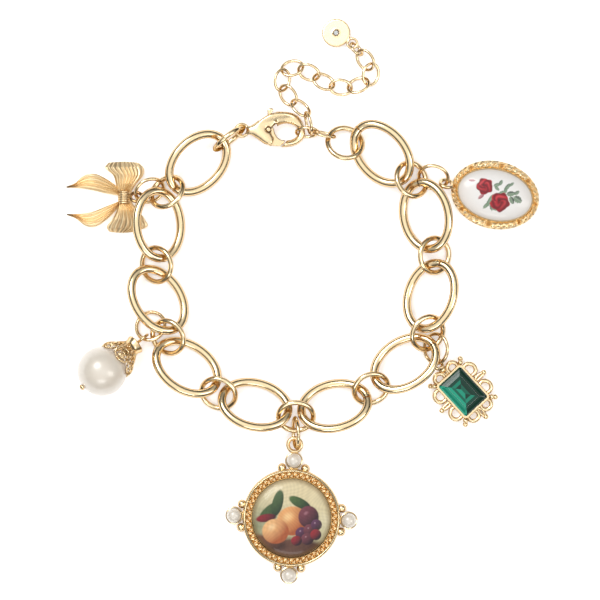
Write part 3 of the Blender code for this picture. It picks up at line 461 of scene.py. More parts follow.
def make_medallion():
    stone_middle = box_middle("medallion_cabochon")
    first_pearl = box_middle("medallion_pearl_1") - stone_middle
    matrix = local_matrix(stone_middle, heading_of(first_pearl))
    top = MEDALLION_TOP
    outer = MEDALLION_RADIUS
    seat = MEDALLION_STONE + STONE_GAP
    band_low = seat + MEDALLION_LIP
    band_high = outer - MEDALLION_RIM
    band = top - BAND_DEPTH

    def relief(angle, share):
        cell = (angle * MEDALLION_REPEATS / TAU) % 1
        height = scroll_relief(cell, share) * np.sin(np.pi * np.clip(share, 0.04, 0.96)) ** 0.3
        # Painted shade in the border's hollows, deeper where the relief is low
        return BAND_RELIEF * height, 0.42 * (1 - height) ** 1.5

    def edge(low_radius, high_radius, low, high):
        """A half-round lip between two radii, on a floor at low and as high as high."""
        middle, half = (low_radius + high_radius) / 2, (high_radius - low_radius) / 2
        swings = [np.pi * i / 6 for i in range(7)]
        return [(middle - half * np.cos(a), low + (high - low) * np.sin(a)) for a in swings]

    stations = [(0.3 * seat, MEDALLION_SEAT), (seat, MEDALLION_SEAT)]
    stations += edge(seat + 0.01 * MM, band_low, band, top + 0.02 * MM)
    shares = [i / BAND_STEPS for i in range(BAND_STEPS + 1)]
    stations += [(band_low + share * (band_high - band_low), band, share) for share in shares]
    stations += edge(band_high, outer - 0.02 * MM, band, top)
    stations += [(outer, 0.4 * top), (outer, 0.15 * MM), (outer - 0.15 * MM, 0.0)]
    stations += [(0.3 * seat, 0.0)]
    parts = [revolved_relief("border", stations, MEDALLION_REPEATS * 18, relief, matrix)]
    cup = SMALL_PEARL / 2 + CUP_WALL
    reach = outer + cup - 0.2 * MM
    up = (0, 0, 1)
    for i in range(4):
        turn = Matrix.Rotation(math.radians(90 * i), 4, "Z")
        spot = matrix @ turn @ Matrix.Translation((0, reach, 0))
        cup_steps = [
            (0.2 * cup, 0.0), (cup - 0.35 * MM, 0.0), (cup - 0.05 * MM, 0.4 * MM),
            (cup, 1.2 * MM), (cup - 0.08 * MM, 1.75 * MM), (cup - 0.3 * MM, 1.85 * MM),
            (cup - 0.42 * MM, 1.5 * MM), (0.2 * cup, 0.7 * MM),
        ]
        parts.append(revolved_relief("cup", cup_steps, 48, None, spot))
        for side in (-1, 1):
            grain = (side * (cup + 0.32 * GRAIN), outer + 0.1 * GRAIN, GRAIN / 2)
            parts.append(set_in(sphere("grain", grain, GRAIN / 2, CAST), matrix @ turn))
        pearl = sphere(
            f"small_pearl_{i + 1}", box_middle(f"medallion_pearl_{i + 1}"), SMALL_PEARL / 2,
            PEARL, 24, 36,
        )
        place(pearl, "pearl", f"medallion_pearl_{i + 1}")
    eye_radius = (FLAT_EYE_HOLE + EYE_WIRE) / 2
    eye_y = reach + cup + FLAT_EYE_HOLE / 2 + EYE_WIRE - 0.3 * MM
    eye = loop_path(eye_radius, eye_radius, 48) + (0, eye_y, FLAT_EYE_HEIGHT)
    parts.append(set_in(tube("eye", eye, up, EYE_WIRE * 0.56, CAST), matrix))
    neck = np.array([(0, reach + 0.6 * cup, 0.9 * MM), (0, eye_y - eye_radius, FLAT_EYE_HEIGHT)])
    parts.append(set_in(tube("neck", neck, up, 0.75 * MM, CAST, 16, closed=False), matrix))
    place(join("medallion_cast", parts), "gold", "medallion_frame")
    painted = domed_disc(
        "medallion_stone", MEDALLION_STONE, MEDALLION_STONE, MEDALLION_SEAT + 0.1 * MM,
        MEDALLION_TOP - 0.1 * MM, MEDALLION_DOME, still_life, ENAMEL,
    )
    place(set_in(painted, matrix), "painted_stone", "medallion_cabochon")


DOME_REACH = 0.97
DOME_START = math.sqrt(1 - DOME_REACH**2)


def domed_disc(name, wide, long, base, edge, dome, picture, material, rings=96, count=288):
    """A domed stone with an upright edge, painted by a picture of (east, north)."""
    angle = TAU * np.arange(count) / count
    rows = [(1.0, base), (1.0, (base + edge) / 2)]
    for i in range(rings):
        share = 1 - i / rings
        rise = math.sqrt(max(1 - (DOME_REACH * share) ** 2, 0))
        rows.append((share, edge + dome * rise - dome * DOME_START))
    points = [around(angle, wide * share, long * share, height) for share, height in rows]
    points.append([[0, 0, edge + dome * (1 - DOME_START)], [0, 0, base]])
    points = np.concatenate(points)
    faces = poled_faces(len(rows), count, len(points) - 1, len(points) - 2)
    colours = picture(points[:, 0] / wide, points[:, 1] / long)
    return make_mesh(name, points, faces, material, paint=colours, sharp=60)


# Pictures: each dab is a soft oval of paint, with places and sizes as shares of the picture's
# half width, its light and dark colours, and how soft its edge is
Dab = namedtuple("Dab", "east north long wide turn light dark soft")


def across_dab(dx, dy, dab):
    """Where points lie along and across a dab or leaf, as shares of its half sizes."""
    turn = math.radians(dab.turn)
    u = (dx * math.cos(turn) + dy * math.sin(turn)) / dab.long
    return u, (dy * math.cos(turn) - dx * math.sin(turn)) / dab.wide


def brush(east, north, colours, dab):
    """Lays one dab over the colours: lit from the upper left, darker to the lower right."""
    dx = east - dab.east
    dy = north - dab.north
    u, v = across_dab(dx, dy, dab)
    distance = np.sqrt(u * u + v * v)
    cover = 1 - smoothstep(1 - dab.soft, 1, distance)
    shade = np.clip(0.45 - 0.55 * (dy - dx) / max(dab.long, dab.wide) + 0.25 * distance**2, 0, 1)
    return mix(colours, mix(dab.light, dab.dark, shade), cover)


PEACH = (0.72, 0.36, 0.14)
PEACH_DARK = (0.36, 0.09, 0.03)
PLUM = (0.17, 0.045, 0.065)
PLUM_DARK = (0.03, 0.01, 0.018)
GRAPE = (0.11, 0.035, 0.09)
LEAF = (0.07, 0.13, 0.04)
LEAF_DARK = (0.012, 0.032, 0.018)
LEDGE = (0.16, 0.07, 0.045)
LEDGE_DARK = (0.035, 0.012, 0.01)
WINE = (0.30, 0.02, 0.03)
WALL_SHADE = (0.46, 0.43, 0.25)
WALL_LIGHT = (0.68, 0.58, 0.36)
WALL_SAGE = (0.15, 0.19, 0.11)
WALL_CLOUD = (0.76, 0.70, 0.50)
PICTURE_EDGE = (0.20, 0.12, 0.05)
PICTURE_TILT = math.radians(-4)
PICTURE_SCALE = 1.16
FRUIT_PICTURE = (
    Dab(0.0, -0.86, 1.15, 0.50, -3, LEDGE, LEDGE_DARK, 0.30),
    Dab(-0.55, -0.52, 0.55, 0.20, -14, (0.22, 0.10, 0.06), LEDGE_DARK, 0.5),
    Dab(-0.46, 0.16, 0.34, 0.15, 38, LEAF, LEAF_DARK, 0.18),
    Dab(-0.30, 0.34, 0.33, 0.13, 74, LEAF, LEAF_DARK, 0.18),
    Dab(-0.56, 0.02, 0.26, 0.10, 8, WINE, PLUM_DARK, 0.25),
    Dab(0.20, 0.33, 0.30, 0.12, 150, LEAF, LEAF_DARK, 0.2),
    Dab(0.02, -0.06, 0.36, 0.34, 0, PEACH, PEACH_DARK, 0.10),
    Dab(-0.06, 0.02, 0.20, 0.16, 30, (0.84, 0.60, 0.30), PEACH, 0.9),
    Dab(-0.36, -0.28, 0.31, 0.29, 0, (0.78, 0.45, 0.20), PEACH_DARK, 0.10),
    Dab(-0.42, -0.20, 0.16, 0.13, 20, (0.88, 0.66, 0.38), PEACH, 0.9),
    Dab(0.38, 0.02, 0.24, 0.26, 0, PLUM, PLUM_DARK, 0.12),
    Dab(0.33, 0.10, 0.08, 0.06, 30, (0.42, 0.20, 0.24), PLUM, 0.9),
    Dab(0.22, -0.34, 0.15, 0.15, 0, GRAPE, PLUM_DARK, 0.12),
    Dab(0.40, -0.28, 0.15, 0.15, 0, PLUM, PLUM_DARK, 0.12),
    Dab(0.55, -0.16, 0.13, 0.13, 0, GRAPE, PLUM_DARK, 0.12),
    Dab(0.34, -0.47, 0.15, 0.14, 0, PLUM, PLUM_DARK, 0.12),
    Dab(0.53, -0.38, 0.13, 0.13, 0, WINE, PLUM_DARK, 0.12),
    Dab(0.10, -0.50, 0.13, 0.12, 0, WINE, PLUM_DARK, 0.14),
    Dab(0.19, -0.29, 0.035, 0.03, 0, (0.5, 0.35, 0.42), GRAPE, 0.9),
    Dab(0.37, -0.23, 0.035, 0.03, 0, (0.5, 0.32, 0.35), PLUM, 0.9),
    Dab(0.52, -0.12, 0.03, 0.03, 0, (0.5, 0.35, 0.42), GRAPE, 0.9),
    Dab(0.31, -0.42, 0.035, 0.03, 0, (0.5, 0.30, 0.32), PLUM, 0.9),
)


def still_life(east, north):
    """Peaches, a plum and grapes with dark leaves on a brown ledge, before a cream wall."""
    x = (east * math.cos(PICTURE_TILT) - north * math.sin(PICTURE_TILT)) / PICTURE_SCALE
    y = (east * math.sin(PICTURE_TILT) + north * math.cos(PICTURE_TILT)) / PICTURE_SCALE
    wall = mix(WALL_SHADE, WALL_LIGHT, smoothstep(-0.6, 0.9, y + 0.3 * x))
    sage = np.exp(-(((x + 0.8) / 0.4) ** 2 + ((y + 0.1) / 0.35) ** 2))
    colours = mix(wall, WALL_SAGE, 0.75 * sage)
    cloud = 0.5 + 0.5 * np.sin(7 * x + 3 * y + 2 * np.sin(4 * y)) * np.sin(5 * y - 2 * x)
    colours = mix(colours, WALL_CLOUD, 0.18 * cloud)
    for dab in FRUIT_PICTURE:
        colours = brush(x, y, colours, dab)
    strokes = np.sin(46 * x + 9 * np.sin(6 * y)) * np.sin(38 * y + 7 * np.sin(5 * x))
    colours = np.clip(colours * (1 + 0.09 * strokes[:, None]), 0, 1)
    edge = smoothstep(0.86, 1.0, np.hypot(east, north))
    return mix(colours, PICTURE_EDGE, 0.55 * edge)


Rose = namedtuple("Rose", "east north size turn")
ROSES = (Rose(-0.33, 0.24, 0.23, 20), Rose(0.16, -0.24, 0.27, 75))
Leaf = namedtuple("Leaf", "east north long wide turn tone")
LEAVES = (
    Leaf(-0.02, 0.40, 0.10, 0.055, 30, 0.4), Leaf(0.07, 0.52, 0.09, 0.05, 75, 0.6),
    Leaf(0.00, 0.27, 0.09, 0.045, -30, 0.3), Leaf(0.27, 0.42, 0.12, 0.055, 65, 0.7),
    Leaf(0.36, 0.55, 0.09, 0.04, 50, 0.5), Leaf(0.24, 0.28, 0.10, 0.05, 95, 0.5),
    Leaf(0.40, 0.18, 0.13, 0.075, 20, 0.9), Leaf(0.55, 0.27, 0.09, 0.05, 50, 0.7),
    Leaf(0.61, 0.02, 0.14, 0.10, -20, 0.8), Leaf(0.46, -0.06, 0.12, 0.07, -55, 1.0),
    Leaf(0.15, 0.13, 0.13, 0.05, 40, 0.2), Leaf(-0.12, -0.33, 0.17, 0.06, 75, 0.4),
    Leaf(-0.02, -0.45, 0.15, 0.07, 100, 0.8), Leaf(-0.18, -0.50, 0.12, 0.05, 60, 0.3),
    Leaf(0.10, -0.56, 0.10, 0.04, 10, 0.3), Leaf(-0.10, -0.12, 0.10, 0.03, 60, 0.2),
)
BUDS = (Leaf(-0.70, 0.36, 0.10, 0.035, 8, 0), Leaf(-0.36, -0.18, 0.12, 0.05, 55, 0))
WHITE = (0.80, 0.79, 0.78)
WHITE_RIM_SHADE = (0.70, 0.66, 0.62)
BUD_DARK = (0.28, 0.06, 0.09)
BUD_LIGHT = (0.50, 0.24, 0.26)
SPRAY_LIGHT = (0.17, 0.27, 0.17)
SPRAY_DARK = (0.025, 0.06, 0.035)
SPRAY_VEIN = (0.33, 0.43, 0.32)
ROSE_DARK = (0.10, 0.003, 0.010)
ROSE_RED = (0.55, 0.015, 0.03)
ROSE_LIGHT = (0.70, 0.10, 0.11)
ROSE_HEART = (0.05, 0.0, 0.005)


def rose_sprays(east, north):
    """Two red roses with leaves and buds on white porcelain."""
    colours = np.full((len(east), 3), WHITE)
    # Painted shade: the white porcelain darkens towards its rim
    shade = smoothstep(0.5, 1.0, np.hypot(east, north))
    colours = mix(colours, WHITE_RIM_SHADE, 0.5 * shade)
    for leaf in LEAVES + BUDS:
        u, v = across_dab(east - leaf.east, (north - leaf.north) * ROSE_ASPECT, leaf)
        pointed = u * u + np.abs(v) ** 1.5
        cover = 1 - smoothstep(0.7, 1.05, pointed + 0.12 * np.sin(14 * u))
        if leaf in BUDS:
            tone = mix(BUD_DARK, BUD_LIGHT, smoothstep(-0.6, 0.6, v))
        else:
            tone = mix(SPRAY_LIGHT, SPRAY_DARK, leaf.tone * smoothstep(-0.8, 0.5, v))
            tone = mix(tone, SPRAY_VEIN, 0.6 * np.exp(-((v / 0.16) ** 2)))
        colours = mix(colours, tone, 0.92 * cover)
    for rose in ROSES:
        dx = (east - rose.east) / rose.size
        dy = (north - rose.north) * ROSE_ASPECT / rose.size
        distance = np.hypot(dx, dy)
        angle = np.arctan2(dy, dx) + math.radians(rose.turn)
        rim = 1 + 0.08 * np.cos(5 * angle) + 0.03 * np.cos(9 * angle + 1)
        cover = 1 - smoothstep(0.88, 1.0, distance / rim)
        swirl = 0.5 + 0.5 * np.sin(2.5 * angle + 11 * distance + 1.2 * np.sin(3 * angle))
        light = np.clip(0.55 - 0.5 * (dy * -1 + dx * 0.6) * 0.6, 0.1, 1)
        petal = mix(ROSE_DARK, ROSE_RED, swirl**1.4 * light + 0.18)
        fold = np.exp(-(((distance - 0.55) / 0.13) ** 2))
        petal = mix(petal, ROSE_LIGHT, 0.5 * fold * light * swirl)
        heart = np.exp(-(((dx + 0.1) ** 2 + (dy - 0.12) ** 2) / 0.02))
        petal = mix(petal, ROSE_HEART, 0.8 * heart)
        colours = mix(colours, petal, cover)
    return colours


# The oval charm
OVAL_LONG = 20.7 * MM / 2
OVAL_WIDE = 15.8 * MM / 2
OVAL_STONE_LONG = 17.2 * MM / 2
OVAL_STONE_WIDE = 11.5 * MM / 2
OVAL_TOP = 2.0 * MM
OVAL_SEAT = 1.0 * MM
OVAL_DOME = 1.9 * MM
OVAL_STRANDS = 40
OVAL_SEAT_GAP = 0.1 * MM
OVAL_EDGE = 0.08 * MM
OVAL_LIP = 0.14 * MM
OVAL_RELIEF = 0.40 * MM
ROSE_ASPECT = OVAL_STONE_WIDE / OVAL_STONE_LONG


def axis_heading(node, ring):
    """A stone's long axis on the floor, on the side of its jump ring."""
    heading = heading_of(fit_frame(node).x)
    towards = heading_of(box_middle(ring) - box_middle(node))
    if math.cos(math.radians(heading - towards)) < 0:
        heading += 180
    return heading


def wire_spot(ring, turn_to):
    """A jump ring's closest spot to a point, and the wire's direction there."""
    path, _ = centre_line(ring, CHARM_RING_WIRE, 360)
    nearest = np.argmin(np.linalg.norm(path[:, :2] - np.asarray(turn_to)[:2], axis=1))
    return path[nearest], path[(nearest + 1) % 360] - path[nearest - 1]


def upright_eye(matrix, eye_y, heading, spot, ahead):
    """A charm's eye on edge at its jump ring's spot, so that the wires cross squarely."""
    turn = math.radians(heading)
    across = ahead[0] * math.sin(turn) - ahead[1] * math.cos(turn)
    roll = math.degrees(math.atan(ahead[2] / across))
    radius = (EYE_HOLE + EYE_WIRE) / 2
    eye = tube("eye", loop_path(radius, radius, 48), (0, 0, 1), EYE_WIRE / 2, CAST)
    set_in(eye, Matrix.Rotation(math.radians(90 - roll), 4, "Y"))
    return set_in(eye, matrix @ Matrix.Translation((0, eye_y, spot[2])))


def hung_eye(ring, matrix, eye_y, heading):
    """An upright eye at a set distance from its charm's middle."""
    return upright_eye(matrix, eye_y, heading, *wire_spot(ring, matrix @ Vector((0, eye_y, 0))))


def make_oval():
    heading = axis_heading("oval_cabochon", "oval_jump_ring")
    matrix = local_matrix(box_middle("oval_cabochon"), heading)
    count = OVAL_STRANDS * 24
    angle = TAU * np.arange(count) / count
    inner = np.array([OVAL_STONE_WIDE + OVAL_SEAT_GAP, OVAL_STONE_LONG + OVAL_SEAT_GAP])
    outer = np.array([OVAL_WIDE - OVAL_EDGE, OVAL_LONG - OVAL_EDGE])
    rows = []
    depth = []

    def ring(size, height, shade=0.0):
        rows.append(around(angle, size[0], size[1], height))
        depth.append(np.broadcast_to(shade, count))

    # Painted shade on the seat under the stone
    ring(0.3 * inner, OVAL_SEAT, 0.3)
    ring(inner, OVAL_SEAT, 0.3)
    for i in range(7):
        swing = np.pi * i / 6
        size = inner + OVAL_LIP * (1 - np.cos(swing))
        ring(size, 0.78 * OVAL_TOP + 0.2 * OVAL_TOP * np.sin(swing))
    band = inner + 2 * OVAL_LIP
    steps = 30
    for i in range(steps + 1):
        share = i / steps
        size = band + share * (outer - band)
        strand = angle * OVAL_STRANDS + 2.2 * np.pi * (share - 0.5) ** 2 + 4.0 * share
        rope = 0.5 + 0.5 * np.cos(strand)
        fine = 0.5 + 0.5 * np.cos(3 * strand + 9 * share + 2 * np.sin(7 * angle))
        binding = np.cos(4 * angle) ** 24
        rise = np.sin(np.pi * (0.08 + 0.87 * share)) ** 0.6
        strands = 0.65 * rope**0.7 + 0.35 * fine
        relief = (1 - binding) * strands + binding * (0.6 + 0.4 * np.sin(40 * share))
        height = (0.58 + 0.20 * rise) * OVAL_TOP + OVAL_RELIEF * relief * rise
        swell = 1 + 0.012 * (rope - 0.5) * share
        # Painted shade in the hollows between the rope's strands
        ring(size[:, None] * swell, height, 0.48 * (1 - relief) ** 1.4 * rise)
    ring(outer + 0.02 * MM, 0.5 * OVAL_TOP)
    ring(outer, 0.14 * OVAL_TOP)
    ring(outer - 0.2 * MM, 0.0)
    ring(0.3 * inner, 0.0)
    faces = grid_faces(len(rows), count, True)
    border = make_mesh("border", np.concatenate(rows), faces, CAST, painted_shade=np.concatenate(depth))
    set_in(border, matrix)
    eye_y = OVAL_LONG + EYE_HOLE / 2 + 0.3 * EYE_WIRE
    eye = hung_eye("oval_jump_ring", matrix, eye_y, heading)
    place(join("oval_cast", [border, eye]), "gold", "oval_frame")
    stone = domed_disc(
        "oval_stone", OVAL_STONE_WIDE, OVAL_STONE_LONG, OVAL_SEAT + 0.1 * MM, OVAL_TOP - 0.25 * MM,
        OVAL_DOME + 0.2 * MM, lambda x, y: rose_sprays(-y, x), PORCELAIN,
    )
    place(set_in(stone, matrix), "porcelain", "oval_cabochon")


# The bow's four ribbons, from the knot out: how far each section lies from the knot and its two
# edges (shares of the bow's width for loops and of its height for tails), and its thickness
BOW_WIDTH = 16.8 * MM
BOW_HEIGHT = 18.0 * MM
BOW_THICKNESS = 2.4 * MM
BOW_HEADING = 0
KNOT_SHARE = 0.088
KNOT_TOP = 2.72 * MM
FLUTE_DEPTH = 0.26 * MM
WRAP_DEPTH = 0.16 * MM
LOOP_END = 0.014
Section = namedtuple("Section", "reach near far thick")
LEFT_LOOP = (
    Section(0.05, -0.080, 0.075, 0.80), Section(0.18, -0.11, 0.15, 1.0),
    Section(0.31, -0.15, 0.24, 1.0), Section(0.42, -0.25, 0.24, 0.8),
    Section(0.49, -0.21, 0.18, 0.40),
)
RIGHT_LOOP = (
    Section(0.05, -0.075, 0.080, 0.80), Section(0.18, -0.10, 0.17, 1.0),
    Section(0.31, -0.16, 0.26, 1.0), Section(0.43, -0.23, 0.27, 0.8),
    Section(0.49, -0.20, 0.13, 0.40),
)
LEFT_TAIL = (
    Section(0.05, -0.110, -0.020, 0.7), Section(0.23, -0.250, -0.050, 0.85),
    Section(0.39, -0.325, -0.090, 0.8), Section(0.53, -0.295, -0.117, 0.65),
    Section(0.64, -0.195, -0.128, 0.5), Section(0.75, -0.148, -0.132, 0.3),
)
RIGHT_TAIL = (
    Section(0.05, 0.045, 0.110, 0.7), Section(0.23, 0.122, 0.305, 0.85),
    Section(0.39, 0.190, 0.410, 0.8), Section(0.52, 0.220, 0.385, 0.65),
    Section(0.62, 0.228, 0.300, 0.5), Section(0.745, 0.230, 0.244, 0.3),
)


def soft_curve(knots, values, where):
    """A smooth curve through a table's values."""
    slopes = np.gradient(values, knots)
    k = np.clip(np.searchsorted(knots, where) - 1, 0, len(knots) - 2)
    width = knots[k + 1] - knots[k]
    t = (where - knots[k]) / width
    return (
        (2 * t**3 - 3 * t**2 + 1) * values[k] + (t**3 - 2 * t**2 + t) * width * slopes[k]
        + (3 * t**2 - 2 * t**3) * values[k + 1] + (t**3 - t**2) * width * slopes[k + 1]
    )


def fluted_ribbon(sections, tail, side, flutes, rows=70, columns=120):
    """A ribbon that fans out from the knot with fine flutes along it, rounded at its far end."""
    knots = np.array([s.reach for s in sections])
    reach = np.linspace(knots[0], knots[-1], rows)
    near = soft_curve(knots, np.array([s.near for s in sections]), reach)[:, None]
    far = soft_curve(knots, np.array([s.far for s in sections]), reach)[:, None]
    thick = np.interp(reach, knots, [s.thick for s in sections])[:, None] * BOW_THICKNESS
    along = ((reach - knots[0]) / (knots[-1] - knots[0]))[:, None]
    share = np.linspace(0, 1, columns)[None, :]
    drift = 0.9 * np.sin(9 * share) + 1.1 * np.sin(3 * share + 4 * along)
    flute = 0.5 + 0.5 * np.cos(TAU * flutes * share + drift)
    puff = 0.55 + 0.43 * np.sin(np.pi * share) ** 0.5
    fold = 0.10 * np.sin(TAU * (share * 1.5 + 0.2)) * along
    fade = np.sin(np.pi * np.clip(share, 0.02, 0.98)) ** 0.3
    height = thick * (puff + fold) - FLUTE_DEPTH * (1 - flute) * fade
    across = near + (far - near) * share
    round_end = LOOP_END * along**3 * (not tail)
    out = reach[:, None] + round_end * np.sin(np.pi * share) - round_end
    if tail:
        x, y = across * BOW_WIDTH, -out * BOW_HEIGHT
    else:
        x, y = side * out * BOW_WIDTH, across * BOW_HEIGHT
    top = np.stack([x, y, height], axis=-1)
    base = np.stack([x, y, np.full_like(height, 0.02 * MM)], axis=-1)[:, ::-1]
    edge = top[:, -1:] * (1, 1, 0.5)
    edge_near = top[:, :1] * (1, 1, 0.5)
    points = np.concatenate([top, edge, base[:, ::columns - 1], edge_near], axis=1)
    shade = np.zeros(points.shape[:2])
    # Painted shade in the flutes' grooves and near the knot, where the ribbon goes under it
    shade[:, :columns] = 0.55 * (1 - flute) ** 3 * fade + 0.4 * np.exp(-along / 0.05)
    faces = grid_faces(rows, points.shape[1], caps=True)
    return make_mesh("ribbon", points.reshape(-1, 3), faces, SATIN, painted_shade=np.clip(shade, 0, 1))


def make_bow():
    low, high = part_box("bow_charm")
    centre = (low[0] + 0.755 * BOW_HEIGHT, (low[1] + high[1]) / 2)
    matrix = local_matrix(centre, BOW_HEADING)
    half = KNOT_SHARE * BOW_WIDTH
    parts = [
        fluted_ribbon(LEFT_LOOP, False, -1, 9), fluted_ribbon(RIGHT_LOOP, False, 1, 9),
        fluted_ribbon(LEFT_TAIL, True, 1, 6), fluted_ribbon(RIGHT_TAIL, True, 1, 6),
    ]
    rows, columns = 40, 96
    x = np.linspace(-1, 1, rows)[:, None]
    y = np.linspace(-1, 1, columns)[None, :]
    wrap = 0.5 + 0.5 * np.cos(TAU * 5 * (0.5 * x + 0.5) + 0.6 * y)
    crown = KNOT_TOP * (1 - 0.10 * x**2) * (1 - 0.45 * np.abs(y) ** 3) - WRAP_DEPTH * (1 - wrap)
    pinch = 1 - 0.10 * (1 - y**2)
    top = np.stack([half * x * pinch, half * (y + 0 * x), crown], axis=-1)
    rim = np.concatenate([top[:, :1] * (1, 1, 0.05), top, top[:, -1:] * (1, 1, 0.05)], axis=1)
    knot_shade = np.zeros(rim.shape[:2])
    # Painted shade in the grooves between the knot's wraps
    knot_shade[:, 1:-1] = 0.75 * (1 - wrap) ** 2
    faces = grid_faces(rows, columns + 2, caps=True)
    parts.append(make_mesh("knot", rim.reshape(-1, 3), faces, SATIN, painted_shade=knot_shade))
    for part in parts:
        set_in(part, matrix)
    eye_y = half + EYE_HOLE / 2 + 0.4 * EYE_WIRE
    parts.append(hung_eye("bow_jump_ring", matrix, eye_y, BOW_HEADING))
    place(join("bow_ribbons", parts), "gold", "bow_charm")


# The green charm
GREEN_WIDE = 3.5 * MM
GREEN_LONG = 4.8 * MM
GREEN_DEPTH = 3.5 * MM
GREEN_LIFT = 0.15 * MM
GREEN_COLLAR_WALL = 0.4 * MM
GREEN_COLLAR_TOP = 2.72 * MM
SCROLL_WIRE = 0.95 * MM
SCROLL_HEIGHT = 1.35 * MM
POINT_LENGTH = 2.2 * MM
CORNER_CUT = 0.30 * MM
GREEN_GRAIN = 1.2 * MM
GREEN_NECK = 1.8 * MM
BIG_SCROLL = 0.40 * GREEN_LONG
SMALL_SCROLL = 0.49 * GREEN_WIDE
SCROLL_PLACE = 0.56
SCROLL_OUT = 0.28
POINT_WIRE = 0.7 * MM
POINT_WIDE = 0.75 * MM
# How far the green charm is taken to be turned on the floor, which sets where its facets get painted
# reflections
FACET_TURN = 42.5
# The stone's green in painted shade and in painted reflection, on its crown's facets and on its flat
# top
FACET_SHADE_GREEN = (0.003, 0.030, 0.018)
FACET_REFLECTION_GREEN = (0.02, 0.46, 0.30)
TABLE_SHADE_GREEN = (0.002, 0.022, 0.014)
TABLE_REFLECTION_GREEN = (0.015, 0.42, 0.27)
Step = namedtuple("Step", "wide long high")
STONE_STEPS = (
    Step(0.98, 0.98, 0.70), Step(0.98, 0.98, 0.76), Step(0.88, 0.91, 0.88),
    Step(0.72, 0.78, 0.96), Step(0.58, 0.68, 1.0),
)

# The facets seen through the stone's flat top, painted on it as reflections: half sizes as shares of
# the stone's, and how bright the painted reflection on each facet is on the +x, +y, -x and -y side
TableStep = namedtuple("TableStep", "wide long glow")
TABLE_STEPS = (
    TableStep(0.575, 0.675, (0.04, 0.08, 0.75, 0.08)),
    TableStep(0.40, 0.52, (0.02, 0.45, 0.22, 0.50)),
    TableStep(0.24, 0.36, (0.22, 0.03, 0.65, 0.04)),
)


def cut_corners(wide, long, cut, height):
    """A rectangle with cut corners, from its half sizes."""
    outline = (
        (wide, cut - long), (wide, long - cut), (wide - cut, long), (cut - wide, long),
        (-wide, long - cut), (-wide, cut - long), (cut - wide, -long), (wide - cut, -long),
    )
    return [(x, y, height) for x, y in outline]


def make_green_stone(matrix):
    """A step-cut green stone with painted reflections on its facets: bright to the lower left,
    painted shade to the lower right.
    """
    points = []
    faces = []
    colours = []
    outlines = []
    for step in STONE_STEPS:
        wide, long = GREEN_WIDE * step.wide, GREEN_LONG * step.long
        height = GREEN_LIFT + step.high * GREEN_DEPTH
        outlines.append(cut_corners(wide, long, CORNER_CUT * step.wide, height))

    def add_facet(corners, colour):
        faces.append(tuple(range(len(points), len(points) + len(corners))))
        points.extend(corners)
        colours.extend([colour] * len(corners))

    turn = math.radians(FACET_TURN)
    for level in range(len(outlines) - 1):
        low, high = outlines[level], outlines[level + 1]
        for i in range(8):
            k = (i + 1) % 8
            east = (low[i][0] + low[k][0]) / 2 / GREEN_WIDE
            north = (low[i][1] + low[k][1]) / 2 / GREEN_LONG
            world_east = east * math.cos(turn) - north * math.sin(turn)
            world_north = east * math.sin(turn) + north * math.cos(turn)
            # Painted reflection: crown facets towards the lower left on the floor are painted
            # brighter
            glow = max(0.0, -0.75 * world_east - 0.55 * world_north)
            painted_flash = glow * (0.35 + 0.65 * ((i * 3 + level * 2) % 5) / 4)
            colour = mix(FACET_SHADE_GREEN, FACET_REFLECTION_GREEN, min(painted_flash, 1))
            add_facet([low[i], low[k], high[k], high[i]], tuple(colour))
    height = outlines[-1][0][2]
    for level, outer in enumerate(TABLE_STEPS):
        last = level == len(TABLE_STEPS) - 1
        inner = outer if last else TABLE_STEPS[level + 1]
        corners = ((1, -1), (1, 1), (-1, 1), (-1, -1))
        for side in range(4):
            a, b = corners[side], corners[(side + 1) % 4]
            shape = [(x * outer.wide, y * outer.long) for x, y in (a, b)]
            if last:
                shape += [(0, y * 0.4 * outer.long) for x, y in (b, a)]
            else:
                shape += [(x * inner.wide, y * inner.long) for x, y in (b, a)]
            facet = [(x * GREEN_WIDE, y * GREEN_LONG, height) for x, y in shape]
            colour = mix(TABLE_SHADE_GREEN, TABLE_REFLECTION_GREEN, outer.glow[side])
            add_facet(facet, tuple(colour))
    stone = make_mesh("green_facets", points, faces, CRYSTAL, paint=colours, sharp=1)
    place(set_in(stone, matrix), "green_crystal", "green_stone")


def loop_wire(centre, size, matrix, thick=SCROLL_WIRE):
    """A small loop of cast wire in the green charm's border."""
    path = loop_path(size[0] - thick / 2, size[1] - thick / 2, 56)
    path += (centre[0], centre[1], SCROLL_HEIGHT)
    return set_in(tube("scroll", path, (0, 0, 1), thick / 2, CAST, 14), matrix)


